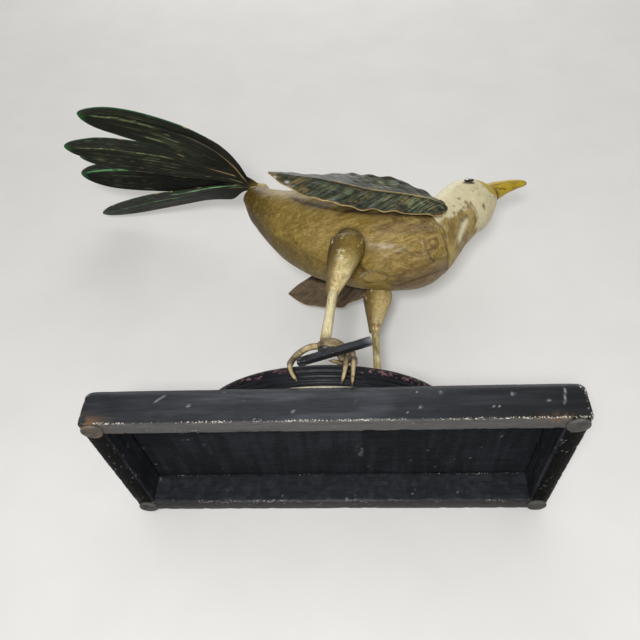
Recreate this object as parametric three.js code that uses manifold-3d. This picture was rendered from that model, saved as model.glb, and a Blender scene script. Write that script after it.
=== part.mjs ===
// Carved and painted wooden bird with sheet-metal leaf wings and a fan of sheet-metal tail
// feathers. It stands on an oval platform with a reeded edge, which is fixed to a hollow box base.
// Its right foot grips a short square perch bar and hooks its claws over the platform's edge.
// Millimetres, +Z up, the bird faces +X. The model is built round the middle of the base's
// underside, and the finished group is moved so that its box stands centred on the origin.
import * as THREE from 'three';
import { mergeVertices } from 'three/addons/utils/BufferGeometryUtils.js';
import Module from 'manifold-3d';

const wasm = await Module();
wasm.setup();

// Driving dimensions
const gap = 0.3; // clearance between pieces that touch
const base = { length: 430, width: 191, height: 36.5, rail: 19, panel: 4, rebate: 9.5, edge: 10, corner: 3 };
const glide = { diameter: 19.5, thickness: 3, inset: 11, round: 1 };
const platform = { length: 248, width: 181, thickness: 23.8, middle: -7 };
const reeds = [
  { height: 8, swell: 2.2 },
  { height: 5, swell: 1.6 },
  { height: 4.5, swell: 1.6 },
  { height: 5.5, swell: -0.9 },
];
const bird_line = -28; // the bird's middle plane, forward of the base's middle
const flank = 0.95; // half width of the bird over its half height
const neck_joint = { x: 111, z: 212, tilt: 24 }; // plane where the head block is glued on
const neck_dowel = { diameter: 16, length: 44 };
const beak = { length: 50.5, tenon: 12, tenon_diameter: 11, height: 29, width: 23 };
const eye = { radius: 5.6, rise: 17, forward: -1, proud: 1.2, depth: 4 };
const sheet = 1.2; // thickness of the metal leaves
const tang = { start: 4, half_width: 4.5, pitch: 1.75 }; // the feathers' narrow ends, stacked on the rump
const tail = { x: -94, z: 317.9, rise: 14.5, rise_step: 1.5 };
const nail = { shank: 1.6, head: 4.6, thickness: 1 };
const wing_nail = { length: 14, places: [[0.13, 0.5], [0.14, -0.45]] };
const tail_nail = { length: 21, places: [8, 13] };
const tail_rest = { length: 12, width: 11, depth: 12, clear: 0.9 }; // gesso built up under the tangs
const perch = { side: 6.8, length: 73, x: 3.6, behind_edge: 9.15, height: 19.1, turn: -17.9, climb: 5.5 };
const thigh = { dowel: 9, dowel_length: 26 };
const shank = { right_radius: 5, left_radius: 4.1, socket: 12 };
const foot_pin = { diameter: 3, length: 24 };
const toe = { root: 3.1, knuckle: 2.9, tip: 1.4 };

const platform_floor = base.height + gap;
const platform_top = platform_floor + platform.thickness;

// Stations of the bird's trunk, tail end first: share of its course, place along the base, height
// above the platform, half height and the lean of the section.
const trunk = [
  { at: 0, x: tail.x - 14, z: tail.z - 11.9, half: 13.5, lean: -50 },
  { at: 0.09, x: tail.x + 7, z: tail.z - 35.9, half: 26.5, lean: -44 },
  { at: 0.2, x: -51, z: 253, half: 42.5, lean: -34 },
  { at: 0.31, x: -12, z: 231, half: 54.5, lean: -25 },
  { at: 0.42, x: 25, z: 217, half: 55.5, lean: -18 },
  { at: 0.53, x: 65, z: 206, half: 53, lean: -9 },
  { at: 0.62, x: 94, z: 203.5, half: 49, lean: 6 },
  { at: 0.7, x: 113, z: 213.5, half: 41.5, lean: 26 },
  { at: 0.77, x: 129, z: 236, half: 35, lean: 45 },
  { at: 0.83, x: 145, z: 255, half: 34, lean: 49 },
  { at: 0.89, x: 162, z: 272, half: 34.5, lean: 43 },
  { at: 0.95, x: 178, z: 285, half: 26, lean: 39 },
  { at: 1, x: 189, z: 293, half: 15, lean: 45 },
];

const vec = (x, y, z) => new THREE.Vector3(x, y, z);
const radians = THREE.MathUtils.degToRad;

// Solids

function geometryOf(points, triangles) {
  const geometry = new THREE.BufferGeometry();
  geometry.setAttribute('position', new THREE.Float32BufferAttribute(points, 3));
  geometry.setIndex(triangles);
  return geometry;
}

function signedVolume(points, triangles) {
  const corner = (index) => vec(points[3 * index], points[3 * index + 1], points[3 * index + 2]);
  let sum = 0;
  for (let i = 0; i < triangles.length; i += 3) {
    const [a, b, c] = [corner(triangles[i]), corner(triangles[i + 1]), corner(triangles[i + 2])];
    sum += a.dot(b.cross(c));
  }
  return sum / 6;
}

function facingOut(points, triangles) {
  if (signedVolume(points, triangles) >= 0) return triangles;
  const turned = [];
  for (let i = 0; i < triangles.length; i += 3) {
    turned.push(triangles[i], triangles[i + 2], triangles[i + 1]);
  }
  return turned;
}

// A closed solid through rings of equal count, each end closed by a fan.
function loft(rings) {
  const points = [];
  const triangles = [];
  const count = rings[0].length;
  rings.forEach((ring) => ring.forEach((p) => points.push(p.x, p.y, p.z)));
  for (let r = 0; r + 1 < rings.length; r += 1) {
    for (let i = 0; i < count; i += 1) {
      const a = r * count + i;
      const b = r * count + ((i + 1) % count);
      triangles.push(a, b, b + count, a, b + count, a + count);
    }
  }
  const ends = [[0, true], [(rings.length - 1) * count, false]];
  ends.forEach(([start, first]) => {
    const ring = rings[first ? 0 : rings.length - 1];
    const middle = ring.reduce((sum, p) => sum.add(p), vec(0, 0, 0)).divideScalar(count);
    const hub = points.length / 3;
    points.push(middle.x, middle.y, middle.z);
    for (let i = 0; i < count; i += 1) {
      const a = start + i;
      const b = start + ((i + 1) % count);
      triangles.push(...(first ? [hub, b, a] : [hub, a, b]));
    }
  });
  return geometryOf(points, facingOut(points, triangles));
}

// A round bar of changing radius along a curve.
function taperedRod(curve, radiusAt, steps, sides) {
  const frames = curve.computeFrenetFrames(steps, false);
  const rings = [];
  for (let s = 0; s <= steps; s += 1) {
    const centre = curve.getPointAt(s / steps);
    const radius = radiusAt(s / steps);
    const ring = [];
    for (let i = 0; i < sides; i += 1) {
      const angle = (2 * Math.PI * i) / sides;
      ring.push(centre.clone()
        .addScaledVector(frames.normals[s], radius * Math.cos(angle))
        .addScaledVector(frames.binormals[s], radius * Math.sin(angle)));
    }
    rings.push(ring);
  }
  return loft(rings);
}

function straightRod(from, to, radius, sides = 16) {
  return taperedRod(new THREE.LineCurve3(from, to), () => radius, 1, sides);
}

// The point moved away from another one by a distance.
function beyond(point, other, distance) {
  return point.clone().add(point.clone().sub(other).setLength(distance));
}

// A metal sheet from a grid of points on its middle surface.
function sheetSolid(grid, thickness) {
  const rows = grid.length;
  const columns = grid[0].length;
  const points = [];
  const triangles = [];
  const sides = [0.5, -0.5];
  sides.forEach((side) => {
    for (let r = 0; r < rows; r += 1) {
      for (let c = 0; c < columns; c += 1) {
        const along = vec(0, 0, 0).subVectors(grid[Math.min(r + 1, rows - 1)][c], grid[Math.max(r - 1, 0)][c]);
        const across = vec(0, 0, 0).subVectors(grid[r][Math.min(c + 1, columns - 1)], grid[r][Math.max(c - 1, 0)]);
        const normal = along.cross(across).normalize();
        const p = grid[r][c].clone().addScaledVector(normal, side * thickness);
        points.push(p.x, p.y, p.z);
      }
    }
  });
  const at = (layer, r, c) => layer * rows * columns + r * columns + c;
  for (let r = 0; r + 1 < rows; r += 1) {
    for (let c = 0; c + 1 < columns; c += 1) {
      triangles.push(at(0, r, c), at(0, r + 1, c), at(0, r + 1, c + 1));
      triangles.push(at(0, r, c), at(0, r + 1, c + 1), at(0, r, c + 1));
      triangles.push(at(1, r, c), at(1, r + 1, c + 1), at(1, r + 1, c));
      triangles.push(at(1, r, c), at(1, r, c + 1), at(1, r + 1, c + 1));
    }
  }
  const rim = [];
  for (let c = 0; c < columns; c += 1) rim.push([0, c]);
  for (let r = 1; r < rows; r += 1) rim.push([r, columns - 1]);
  for (let c = columns - 2; c >= 0; c -= 1) rim.push([rows - 1, c]);
  for (let r = rows - 2; r > 0; r -= 1) rim.push([r, 0]);
  rim.forEach(([r, c], i) => {
    const [r2, c2] = rim[(i + 1) % rim.length];
    triangles.push(at(0, r, c), at(0, r2, c2), at(1, r2, c2));
    triangles.push(at(0, r, c), at(1, r2, c2), at(1, r, c));
  });
  return geometryOf(points, facingOut(points, triangles));
}

function solidOf(geometry) {
  const bare = geometry.index ? geometry.clone() : geometry;
  bare.deleteAttribute('normal');
  bare.deleteAttribute('uv');
  const merged = mergeVertices(bare, 1e-4);
  return new wasm.Manifold(new wasm.Mesh({
    numProp: 3,
    vertProperties: new Float32Array(merged.attributes.position.array),
    triVerts: new Uint32Array(merged.index.array),
  }));
}

function geometryFrom(solid) {
  const mesh = solid.getMesh();
  return geometryOf(Array.from(mesh.vertProperties), Array.from(mesh.triVerts));
}

function cut(geometry, tools) {
  let solid = solidOf(geometry);
  tools.forEach((tool) => { solid = solid.subtract(solidOf(tool)); });
  return geometryFrom(solid);
}

function common(geometry, tool) {
  return geometryFrom(solidOf(geometry).intersect(solidOf(tool)));
}

function boxBetween(low, high) {
  const box = new THREE.BoxGeometry(high.x - low.x, high.y - low.y, high.z - low.z);
  box.translate((low.x + high.x) / 2, (low.y + high.y) / 2, (low.z + high.z) / 2);
  return box;
}

// Across the bird's middle plane.
function mirrored(geometry) {
  const points = Array.from(geometry.attributes.position.array);
  for (let i = 1; i < points.length; i += 3) points[i] = 2 * bird_line - points[i];
  return geometryOf(points, facingOut(points, Array.from(geometry.index.array)));
}

// Materials
const black_paint = { color: 0x15171a, roughness: 0.42, metalness: 0 };
const worn_black = { color: 0x2b2624, roughness: 0.6, metalness: 0 };
const ochre_varnish = { color: 0x9a8446, roughness: 0.38, metalness: 0 };
const cream_paint = { color: 0xe2d9c0, roughness: 0.5, metalness: 0 };
const yellow_paint = { color: 0xcaa637, roughness: 0.45, metalness: 0 };
const green_metal = { color: 0x1f3327, roughness: 0.4, metalness: 0.5 };
const brown_metal = { color: 0x4a3d30, roughness: 0.55, metalness: 0.5 };
const bare_wood = { color: 0xb08a5a, roughness: 0.8, metalness: 0 };
const bright_steel = { color: 0x8a8a88, roughness: 0.35, metalness: 1 };
const black_glass = { color: 0x0b0a09, roughness: 0.08, metalness: 0 };

const figurine = new THREE.Group();

function add(name, geometry, finish) {
  const flat = geometry.index ? geometry.toNonIndexed() : geometry;
  flat.computeVertexNormals();
  const mesh = new THREE.Mesh(flat, new THREE.MeshStandardMaterial({ ...finish, flatShading: true }));
  mesh.name = name;
  figurine.add(mesh);
  return mesh;
}

// Base

function roundedRectangle(half_length, half_width, radius, z) {
  const ring = [];
  const quarter_steps = 3;
  const corners = [[1, 1, 0], [-1, 1, 90], [-1, -1, 180], [1, -1, 270]];
  corners.forEach(([sx, sy, start]) => {
    for (let k = 0; k <= quarter_steps; k += 1) {
      const angle = radians(start + (90 * k) / quarter_steps);
      ring.push(vec(
        sx * (half_length - radius) + radius * Math.cos(angle),
        sy * (half_width - radius) + radius * Math.sin(angle),
        z,
      ));
    }
  });
  return ring;
}

function baseBlank() {
  const rings = [roundedRectangle(base.length / 2, base.width / 2, base.corner, 0)];
  const steps = 5;
  for (let k = 0; k <= steps; k += 1) {
    const angle = radians((90 * k) / steps);
    const inset = base.edge * (1 - Math.cos(angle));
    const z = base.height - base.edge * (1 - Math.sin(angle));
    rings.push(roundedRectangle(base.length / 2 - inset, base.width / 2 - inset, base.corner, z));
  }
  return loft(rings);
}

function addBase() {
  const half_length = base.length / 2;
  const half_width = base.width / 2;
  const over = 1;
  const blank = baseBlank();
  const panel_floor = base.height - base.panel;
  const recess = boxBetween(
    vec(-half_length + base.rebate, -half_width + base.rebate, panel_floor - gap),
    vec(half_length - base.rebate, half_width - base.rebate, base.height + over),
  );
  const frame = cut(blank, [recess]);
  const between = half_width - base.rail - gap;
  const rails = {
    front_rail: [vec(-half_length - over, -half_width - over, -over), vec(half_length + over, -half_width + base.rail, base.height + over)],
    back_rail: [vec(-half_length - over, half_width - base.rail, -over), vec(half_length + over, half_width + over, base.height + over)],
    left_end_rail: [vec(-half_length - over, -between, -over), vec(-half_length + base.rail, between, base.height + over)],
    right_end_rail: [vec(half_length - base.rail, -between, -over), vec(half_length + over, between, base.height + over)],
  };
  Object.entries(rails).forEach(([name, [low, high]]) => {
    add(name, common(frame, boxBetween(low, high)), black_paint);
  });
  add('top_panel', boxBetween(
    vec(-half_length + base.rebate + gap, -half_width + base.rebate + gap, panel_floor),
    vec(half_length - base.rebate - gap, half_width - base.rebate - gap, base.height),
  ), black_paint);
}

function addGlides() {
  const radius = glide.diameter / 2;
  const profile = [
    new THREE.Vector2(0, -glide.thickness),
    new THREE.Vector2(radius - glide.round, -glide.thickness),
    new THREE.Vector2(radius, -glide.thickness + glide.round),
    new THREE.Vector2(radius, -gap),
    new THREE.Vector2(0, -gap),
  ];
  const places = { front_left: [-1, -1], front_right: [1, -1], back_left: [-1, 1], back_right: [1, 1] };
  Object.entries(places).forEach(([place, [sx, sy]]) => {
    const disc = new THREE.LatheGeometry(profile, 24).rotateX(Math.PI / 2);
    disc.translate(sx * (base.length / 2 - glide.inset), sy * (base.width / 2 - glide.inset), 0);
    add(`glide_${place}`, geometryFrom(solidOf(disc)), worn_black);
  });
}

// Platform

function ovalRing(outset, z) {
  const ring = [];
  const count = 48;
  for (let i = 0; i < count; i += 1) {
    const angle = (2 * Math.PI * i) / count;
    ring.push(vec(
      platform.middle + (platform.length / 2 + outset) * Math.cos(angle),
      (platform.width / 2 + outset) * Math.sin(angle),
      z,
    ));
  }
  return ring;
}

// The edge's beads and cove, from the top down, share the thickness in proportion.
function platformBlank() {
  const total = reeds.reduce((sum, bead) => sum + bead.height, 0);
  const deepest = Math.max(...reeds.map((bead) => bead.swell));
  const steps = 3;
  const rings = [ovalRing(-deepest, platform_top)];
  let z = platform_top;
  reeds.forEach((bead) => {
    const height = (bead.height * platform.thickness) / total;
    for (let k = 1; k <= steps; k += 1) {
      const share = (k - 0.5) / steps;
      rings.push(ovalRing(-deepest + bead.swell * Math.sin(Math.PI * share), z - height * share));
    }
    z -= height;
    rings.push(ovalRing(-deepest, z));
  });
  return loft(rings);
}

// How far forward the platform's edge is at a place along it.
function platformEdge(x) {
  const share = (x - platform.middle) / (platform.length / 2);
  return (-platform.width / 2) * Math.sqrt(1 - share * share);
}

// Trunk, split into body and head

const trunk_course = new THREE.CubicInterpolant(
  trunk.map((station) => station.at),
  trunk.flatMap((station) => [station.x, station.z, station.half, station.lean]),
  4,
);

function trunkRing(place, growth, sides) {
  const [x, z, half, lean] = trunk_course.evaluate(place);
  const ring = [];
  for (let i = 0; i < sides; i += 1) {
    const angle = (2 * Math.PI * i) / sides;
    const up = (half + growth) * Math.cos(angle);
    const out = flank * (half + growth) * Math.sin(angle);
    ring.push(vec(
      x - up * Math.sin(radians(lean)),
      bird_line + out,
      platform_top + z + up * Math.cos(radians(lean)),
    ));
  }
  return ring;
}

function trunkLoft(growth, from, to, steps, sides) {
  const rings = [];
  for (let s = 0; s <= steps; s += 1) {
    rings.push(trunkRing(from + ((to - from) * s) / steps, growth, sides));
  }
  return loft(rings);
}

const joint_centre = vec(neck_joint.x, bird_line, platform_top + neck_joint.z);
const joint_axis = vec(Math.cos(radians(neck_joint.tilt)), 0, Math.sin(radians(neck_joint.tilt)));

// A block that fills one side of the neck joint's plane.
function sideOfJoint(sign) {
  const size = 700;
  const block = new THREE.BoxGeometry(size, size, size);
  block.translate(sign * (size / 2 + gap / 2), 0, 0);
  block.rotateY(-radians(neck_joint.tilt));
  block.translate(joint_centre.x, joint_centre.y, joint_centre.z);
  return block;
}

const whole_trunk = trunkLoft(0, 0, 1, 40, 26);

// Beak: a tapered loft with a round tenon in the head

function beakStart() {
  const last = trunk[trunk.length - 1];
  const lean = radians(last.lean);
  const axis = vec(Math.cos(lean), 0, Math.sin(lean));
  return { centre: vec(last.x, bird_line, platform_top + last.z), axis };
}

function beakRing(x, z, half_height, half_width, lean) {
  const ring = [];
  const sides = 16;
  for (let i = 0; i < sides; i += 1) {
    const angle = (2 * Math.PI * i) / sides;
    const up = half_height * Math.cos(angle);
    ring.push(vec(x - up * Math.sin(lean), bird_line + half_width * Math.sin(angle), z + up * Math.cos(lean)));
  }
  return ring;
}

function beakBlank() {
  const { centre, axis } = beakStart();
  const start = centre.clone().addScaledVector(axis, gap);
  const stations = [
    { share: 0, rise: 0, size: 1, lean: 45 },
    { share: 0.27, rise: 7.6, size: 0.79, lean: 35 },
    { share: 0.53, rise: 12.6, size: 0.6, lean: 23 },
    { share: 0.77, rise: 15.6, size: 0.43, lean: 11 },
    { share: 0.94, rise: 16.4, size: 0.27, lean: 2 },
    { share: 1, rise: 16, size: 0.09, lean: -5 },
  ];
  return loft(stations.map(({ share, rise, size, lean }) => beakRing(
    start.x + share * beak.length,
    start.z + rise,
    (size * beak.height) / 2,
    (size * beak.width) / 2,
    radians(lean),
  )));
}

function beakTenon(growth) {
  const { centre, axis } = beakStart();
  const inner = centre.clone().addScaledVector(axis, -beak.tenon - growth);
  const outer = centre.clone().addScaledVector(axis, gap + 2);
  return straightRod(inner, outer, beak.tenon_diameter / 2 + growth);
}

// Eyes: beads let into the head

function eyeSeat(side) {
  const crown = trunk[trunk.length - 3];
  const rise = radians(eye.rise);
  const forward = radians(eye.forward);
  const direction = vec(
    Math.cos(rise) * Math.sin(forward),
    -side * Math.cos(rise) * Math.cos(forward),
    Math.sin(rise),
  );
  const reach = crown.half * Math.hypot(Math.sin(rise), flank * Math.cos(rise));
  const centre = vec(crown.x, bird_line, platform_top + crown.z).addScaledVector(direction, reach);
  return { centre, direction };
}

function eyeBead(side, growth) {
  const { centre, direction } = eyeSeat(side);
  const profile = [new THREE.Vector2(0, -eye.depth - growth), new THREE.Vector2(eye.radius + growth, -eye.depth - growth)];
  const steps = 4;
  for (let k = 0; k < steps; k += 1) {
    const angle = radians((90 * k) / steps);
    profile.push(new THREE.Vector2((eye.radius + growth) * Math.cos(angle), (eye.proud + growth) * Math.sin(angle)));
  }
  profile.push(new THREE.Vector2(0, eye.proud + growth));
  const bead = new THREE.LatheGeometry(profile, 20);
  bead.applyQuaternion(new THREE.Quaternion().setFromUnitVectors(vec(0, 1, 0), direction));
  bead.translate(centre.x, centre.y, centre.z);
  return geometryFrom(solidOf(bead));
}

// Wings: one folded leaf, mirrored for the other side. Each station gives the midrib's place, its
// distance out from the bird's middle plane, its height above the platform, the widths below and
// above it, and how far the upper half leans in.
const wing_stations = [
  { x: 130, out: 35.8, z: 229, below: 3, above: 3, fold: 25 },
  { x: 127, out: 37.8, z: 232, below: 13, above: 10, fold: 25 },
  { x: 121, out: 40.5, z: 234, below: 22, above: 16, fold: 26 },
  { x: 109, out: 46, z: 234.5, below: 27, above: 23, fold: 26 },
  { x: 92, out: 54, z: 231, below: 29, above: 29, fold: 15 },
  { x: 76, out: 60, z: 228.5, below: 30, above: 33, fold: 10 },
  { x: 43, out: 70, z: 224.5, below: 33, above: 33, fold: 10 },
  { x: 25, out: 77.5, z: 223, below: 33, above: 32, fold: 12 },
  { x: 6, out: 85, z: 222, below: 35, above: 30, fold: 23 },
  { x: -16, out: 91, z: 222, below: 31, above: 27, fold: 29 },
  { x: -38, out: 95.5, z: 222.5, below: 24.5, above: 20, fold: 31 },
  { x: -55, out: 98.5, z: 223.5, below: 13, above: 11, fold: 31 },
  { x: -67, out: 100, z: 224.5, below: 0.8, above: 0.8, fold: 31 },
];
const wing_course = new THREE.LinearInterpolant(
  wing_stations.map((station, index) => index),
  wing_stations.flatMap((station) => [station.x, station.out, station.z, station.below, station.above, station.fold]),
  6,
);

// A point of the right wing's middle surface, by its share along the leaf and across it.
function wingPoint(share, across) {
  const [x, out, z, below, above, fold] = wing_course.evaluate(share * (wing_stations.length - 1));
  const upper = across > 0;
  const reach = Math.abs(across) * (upper ? above : below);
  const ripple = 1.5 * Math.sin(30 * share) * Math.sin(Math.PI * share) * Math.abs(across) ** 3;
  const turn = radians(upper ? fold : 2);
  return vec(
    x,
    bird_line - out + reach * Math.sin(turn) - ripple,
    platform_top + z + (upper ? 1 : -1) * reach * Math.cos(turn),
  );
}

function wingNormal(share, across) {
  const step = 0.02;
  const along = wingPoint(share + step, across).sub(wingPoint(share - step, across));
  const up = wingPoint(share, across + step).sub(wingPoint(share, across - step));
  const normal = along.cross(up).normalize();
  return normal.y < 0 ? normal : normal.negate();
}

function wingSheet() {
  const rows = 18;
  const columns = 6;
  const grid = [];
  for (let r = 0; r <= rows; r += 1) {
    const row = [];
    for (let c = 0; c <= columns; c += 1) row.push(wingPoint(r / rows, (2 * c) / columns - 1));
    grid.push(row);
  }
  return sheetSolid(grid, sheet);
}

// Tail feathers: folded sheets in a fan, their tangs stacked on the rump. A midrib is a row of
// points along the fan and across it. Each half of a sheet droops from its midrib by its own angle.
const feathers = [
  { name: 'tail_feather_1', level: -2, side: -2, half: 25, near: 30, far: 22, near_grow: 0.5, far_grow: 0.5,
    midrib: [[18, 9], [35, 36], [61, 61], [110, 82], [171, 95], [229, 95]] },
  { name: 'tail_feather_2', level: -1, side: -1, half: 22, near: 14, far: 11, near_grow: 0.5, far_grow: 0.5,
    midrib: [[19, 13], [76, 27], [124, 37], [171, 40], [212, 41], [252, 38], [278, 36]] },
  { name: 'tail_feather_3', level: 0, side: 0, half: 20, near: 8, far: 1, near_grow: 0.55, far_grow: 0.55,
    midrib: [[29, 8], [80, 17], [147, 24], [195, 23], [267, 16]] },
  { name: 'tail_feather_4', level: 2, side: 1, half: 23.5, near: 5, far: 24, near_grow: 0.55, far_grow: 0.55,
    midrib: [[60, -2], [130, -4], [194, -13], [249, -23], [296, -32]] },
  { name: 'tail_feather_5', level: 1, side: 2, half: 22, near: 22, far: -23, near_grow: 0.6, far_grow: 0.28,
    midrib: [[32, -1], [68, -11], [126, -34], [190, -59], [280, -97]] },
];

function featherWidth(t, shape, near_side) {
  const grown = near_side ? shape.near_grow : shape.far_grow;
  const spread = THREE.MathUtils.smoothstep(t, 0.06, grown);
  const width = tang.half_width + (shape.half - tang.half_width) * spread;
  if (t < 0.6) return width;
  const share = (t - 0.6) / 0.4;
  return Math.max(0.8, width * (1 - share ** 2.6) ** 0.6);
}

function featherPlane(shape) {
  const rise = radians(tail.rise + shape.level * tail.rise_step);
  const out = vec(-Math.cos(rise), 0, Math.sin(rise));
  const root = vec(tail.x, bird_line + shape.side, platform_top + tail.z + shape.level * tang.pitch);
  return { root, out };
}

function featherSheet(shape, thickness) {
  const { root, out } = featherPlane(shape);
  const place = ([along, across]) => root.clone().addScaledVector(out, along).add(vec(0, -across, 0));
  const midrib = new THREE.CatmullRomCurve3([[tang.start, 0], ...shape.midrib].map(place));
  const rows = 16;
  const columns = 4;
  const grid = [];
  for (let r = 0; r <= rows; r += 1) {
    const t = r / rows;
    const spine = midrib.getPointAt(t);
    const far_side = vec(0, 0, 0).crossVectors(midrib.getTangentAt(t), vec(0, 0, 1)).normalize();
    const settle = THREE.MathUtils.smoothstep(t, 0.08, 0.4);
    const row = [];
    for (let c = 0; c <= columns; c += 1) {
      const across = (2 * c) / columns - 1;
      const width = featherWidth(t, shape, across < 0);
      const droop = radians(settle * (across < 0 ? shape.near : shape.far));
      row.push(spine.clone()
        .addScaledVector(far_side, across * width * Math.cos(droop))
        .add(vec(0, 0, -Math.abs(across) * width * Math.sin(droop))));
    }
    grid.push(row);
  }
  return sheetSolid(grid, thickness);
}

// Legs and feet

function ovalRod(points, radii, sides, depth) {
  const curve = new THREE.CatmullRomCurve3(points);
  const places = new THREE.CubicInterpolant(radii.map((r, i) => i / (radii.length - 1)), radii, 1);
  const steps = 12;
  const rings = [];
  for (let s = 0; s <= steps; s += 1) {
    const centre = curve.getPoint(s / steps);
    const heading = curve.getTangent(s / steps);
    const [radius] = places.evaluate(s / steps);
    const fore = vec(0, 0, 0).crossVectors(vec(0, 1, 0), heading).normalize();
    const out = vec(0, 0, 0).crossVectors(heading, fore).normalize();
    const ring = [];
    for (let i = 0; i < sides; i += 1) {
      const angle = (2 * Math.PI * i) / sides;
      ring.push(centre.clone()
        .addScaledVector(fore, radius * Math.cos(angle))
        .addScaledVector(out, depth * radius * Math.sin(angle)));
    }
    rings.push(ring);
  }
  return loft(rings);
}

function toeRod(points, growth) {
  const root = growth > 0 ? beyond(points[0], points[1], growth) : points[0];
  const curve = new THREE.CatmullRomCurve3([root, ...points.slice(1)]);
  const radius = (t) => {
    const shaft = THREE.MathUtils.lerp(toe.root, toe.knuckle, Math.min(1, t / 0.6));
    return growth + (t < 0.6 ? shaft : THREE.MathUtils.lerp(toe.knuckle, toe.tip, (t - 0.6) / 0.4));
  };
  return taperedRod(curve, radius, 12, 8);
}

const hip = {
  right: vec(16, bird_line - 42, platform_top + 169),
  left: vec(49, bird_line + 42, platform_top + 168),
};
const knee = {
  right: vec(-0.3, bird_line - 42, platform_top + 97.5),
  left: vec(43, bird_line + 42, platform_top + 113),
};
const thigh_radii = { right: [7.5, 19, 16, 6.5], left: [7, 17, 13.5, 5.6] };
const right_grip = vec(0, platformEdge(0) + 12.6, platform_top + 29);
const ankle = {
  right: right_grip.clone().add(vec(-5, 1, 7)),
  left: vec(46, bird_line + 44, platform_top + 14),
};

function thighRod(side) {
  const top = hip[side].clone().add(vec(0, 0, 15));
  const middle = hip[side].clone().lerp(knee[side], 0.4);
  return ovalRod([top, hip[side], middle, knee[side]], thigh_radii[side], 18, 0.85);
}

function thighDowel(side, growth) {
  const inward = side === 'right' ? 1 : -1;
  const from = hip[side].clone().add(vec(0, -inward * (4 + growth), 0));
  const to = from.clone().add(vec(0, inward * (thigh.dowel_length + 2 * growth), 0));
  return straightRod(from, to, thigh.dowel / 2 + growth);
}

function shankRod(side, growth) {
  const top = knee[side].clone().lerp(hip[side], shank.socket / knee[side].distanceTo(hip[side]));
  const [from, to] = growth > 0
    ? [beyond(ankle[side], top, growth), beyond(top, ankle[side], growth)]
    : [ankle[side], top];
  return straightRod(from, to, shank[`${side}_radius`] + growth, 12);
}

// The perch bar, level across but climbing a little towards its free end.
function perchBar(growth) {
  const bar = new THREE.BoxGeometry(perch.length + 2 * growth, perch.side + 2 * growth, perch.side + 2 * growth);
  bar.rotateY(-radians(perch.climb));
  bar.rotateZ(radians(perch.turn));
  bar.translate(perch.x, platformEdge(perch.x) + perch.behind_edge, platform_top + perch.height);
  return bar;
}

// Toes of the gripping foot, as steps from the platform's front edge and its top.
const hold = (x, behind_edge, above_top) => vec(x, platformEdge(x) + behind_edge, platform_top + above_top);
const right_toes = {
  hind_toe: [hold(-8, 13.5, 29), hold(-17.9, 12, 27.4), hold(-24.7, 10, 22.8), hold(-30.8, 7, 15.4), hold(-34.4, 2.8, 6.7), hold(-34.8, -4.3, -3.4), hold(-32.2, -5.7, -12.7), hold(-26.8, -7, -22.4)],
  inner_toe: [hold(0, 16.5, 31), hold(8, 22, 25), hold(12.5, 22, 16), hold(11, 15.5, 9.8), hold(6.5, 8, 7.2), hold(-0.7, 3.6, 5.6)],
  middle_toe: [hold(6.5, 14, 32), hold(12.8, 15.2, 28.5), hold(15.8, 14.2, 18.5), hold(15.7, 9.2, 9.2), hold(15.6, 3, 7.3), hold(15.3, -4.2, -0.8), hold(14, -5.8, -12), hold(11.4, -7.2, -26)],
  outer_toe: [hold(12.5, 20, 33), hold(18.8, 19.2, 29.5), hold(21, 19, 20), hold(22, 14.8, 12.2), hold(22.5, 3.4, 7.8), hold(21.9, -4.2, -0.8), hold(21.2, -6.6, -14), hold(20.3, -8, -28)],
};

// Toes of the standing foot, spread on the platform.
function standingToes() {
  const lift = toe.knuckle + gap;
  const centre = vec(ankle.left.x, ankle.left.y, platform_top);
  const spread = { inner_toe: -40, middle_toe: 0, outer_toe: 40, hind_toe: 180 };
  const lengths = { inner_toe: 36, middle_toe: 42, outer_toe: 36, hind_toe: 27 };
  const toes = {};
  Object.entries(spread).forEach(([name, angle]) => {
    const heading = vec(Math.cos(radians(angle)), Math.sin(radians(angle)), 0);
    const reach = lengths[name];
    const at = (distance, height) => centre.clone().addScaledVector(heading, distance).add(vec(0, 0, height));
    toes[name] = [at(10.8, lift + 2.3), at(reach * 0.45, lift + 2.2), at(reach * 0.8, lift + 0.5), at(reach, toe.tip + gap)];
  });
  return toes;
}

function palmBlank(side) {
  if (side === 'right') {
    const left = right_grip.clone().add(vec(-12, -0.5, -1.5));
    const right = right_grip.clone().add(vec(13, 5, 1));
    return ovalRod([left, right_grip.clone().add(vec(-4, 0, 0)), right_grip.clone().add(vec(5, 1.5, 0.8)), right], [3.4, 6.7, 6.3, 3.3], 14, 1);
  }
  const low = vec(ankle.left.x, ankle.left.y, platform_top + gap);
  return ovalRod([low, low.clone().add(vec(0, 0, 5)), low.clone().add(vec(0, 0, 12)), low.clone().add(vec(0, 0, 20))], [11.5, 12.5, 8.5, 5.2], 16, 1);
}

function footPin(growth) {
  const top = ankle.left.clone().add(vec(0, 0, -3));
  return straightRod(top.clone().add(vec(0, 0, growth)), top.clone().add(vec(0, 0, -foot_pin.length - growth)), foot_pin.diameter / 2 + growth, 10);
}

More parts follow.
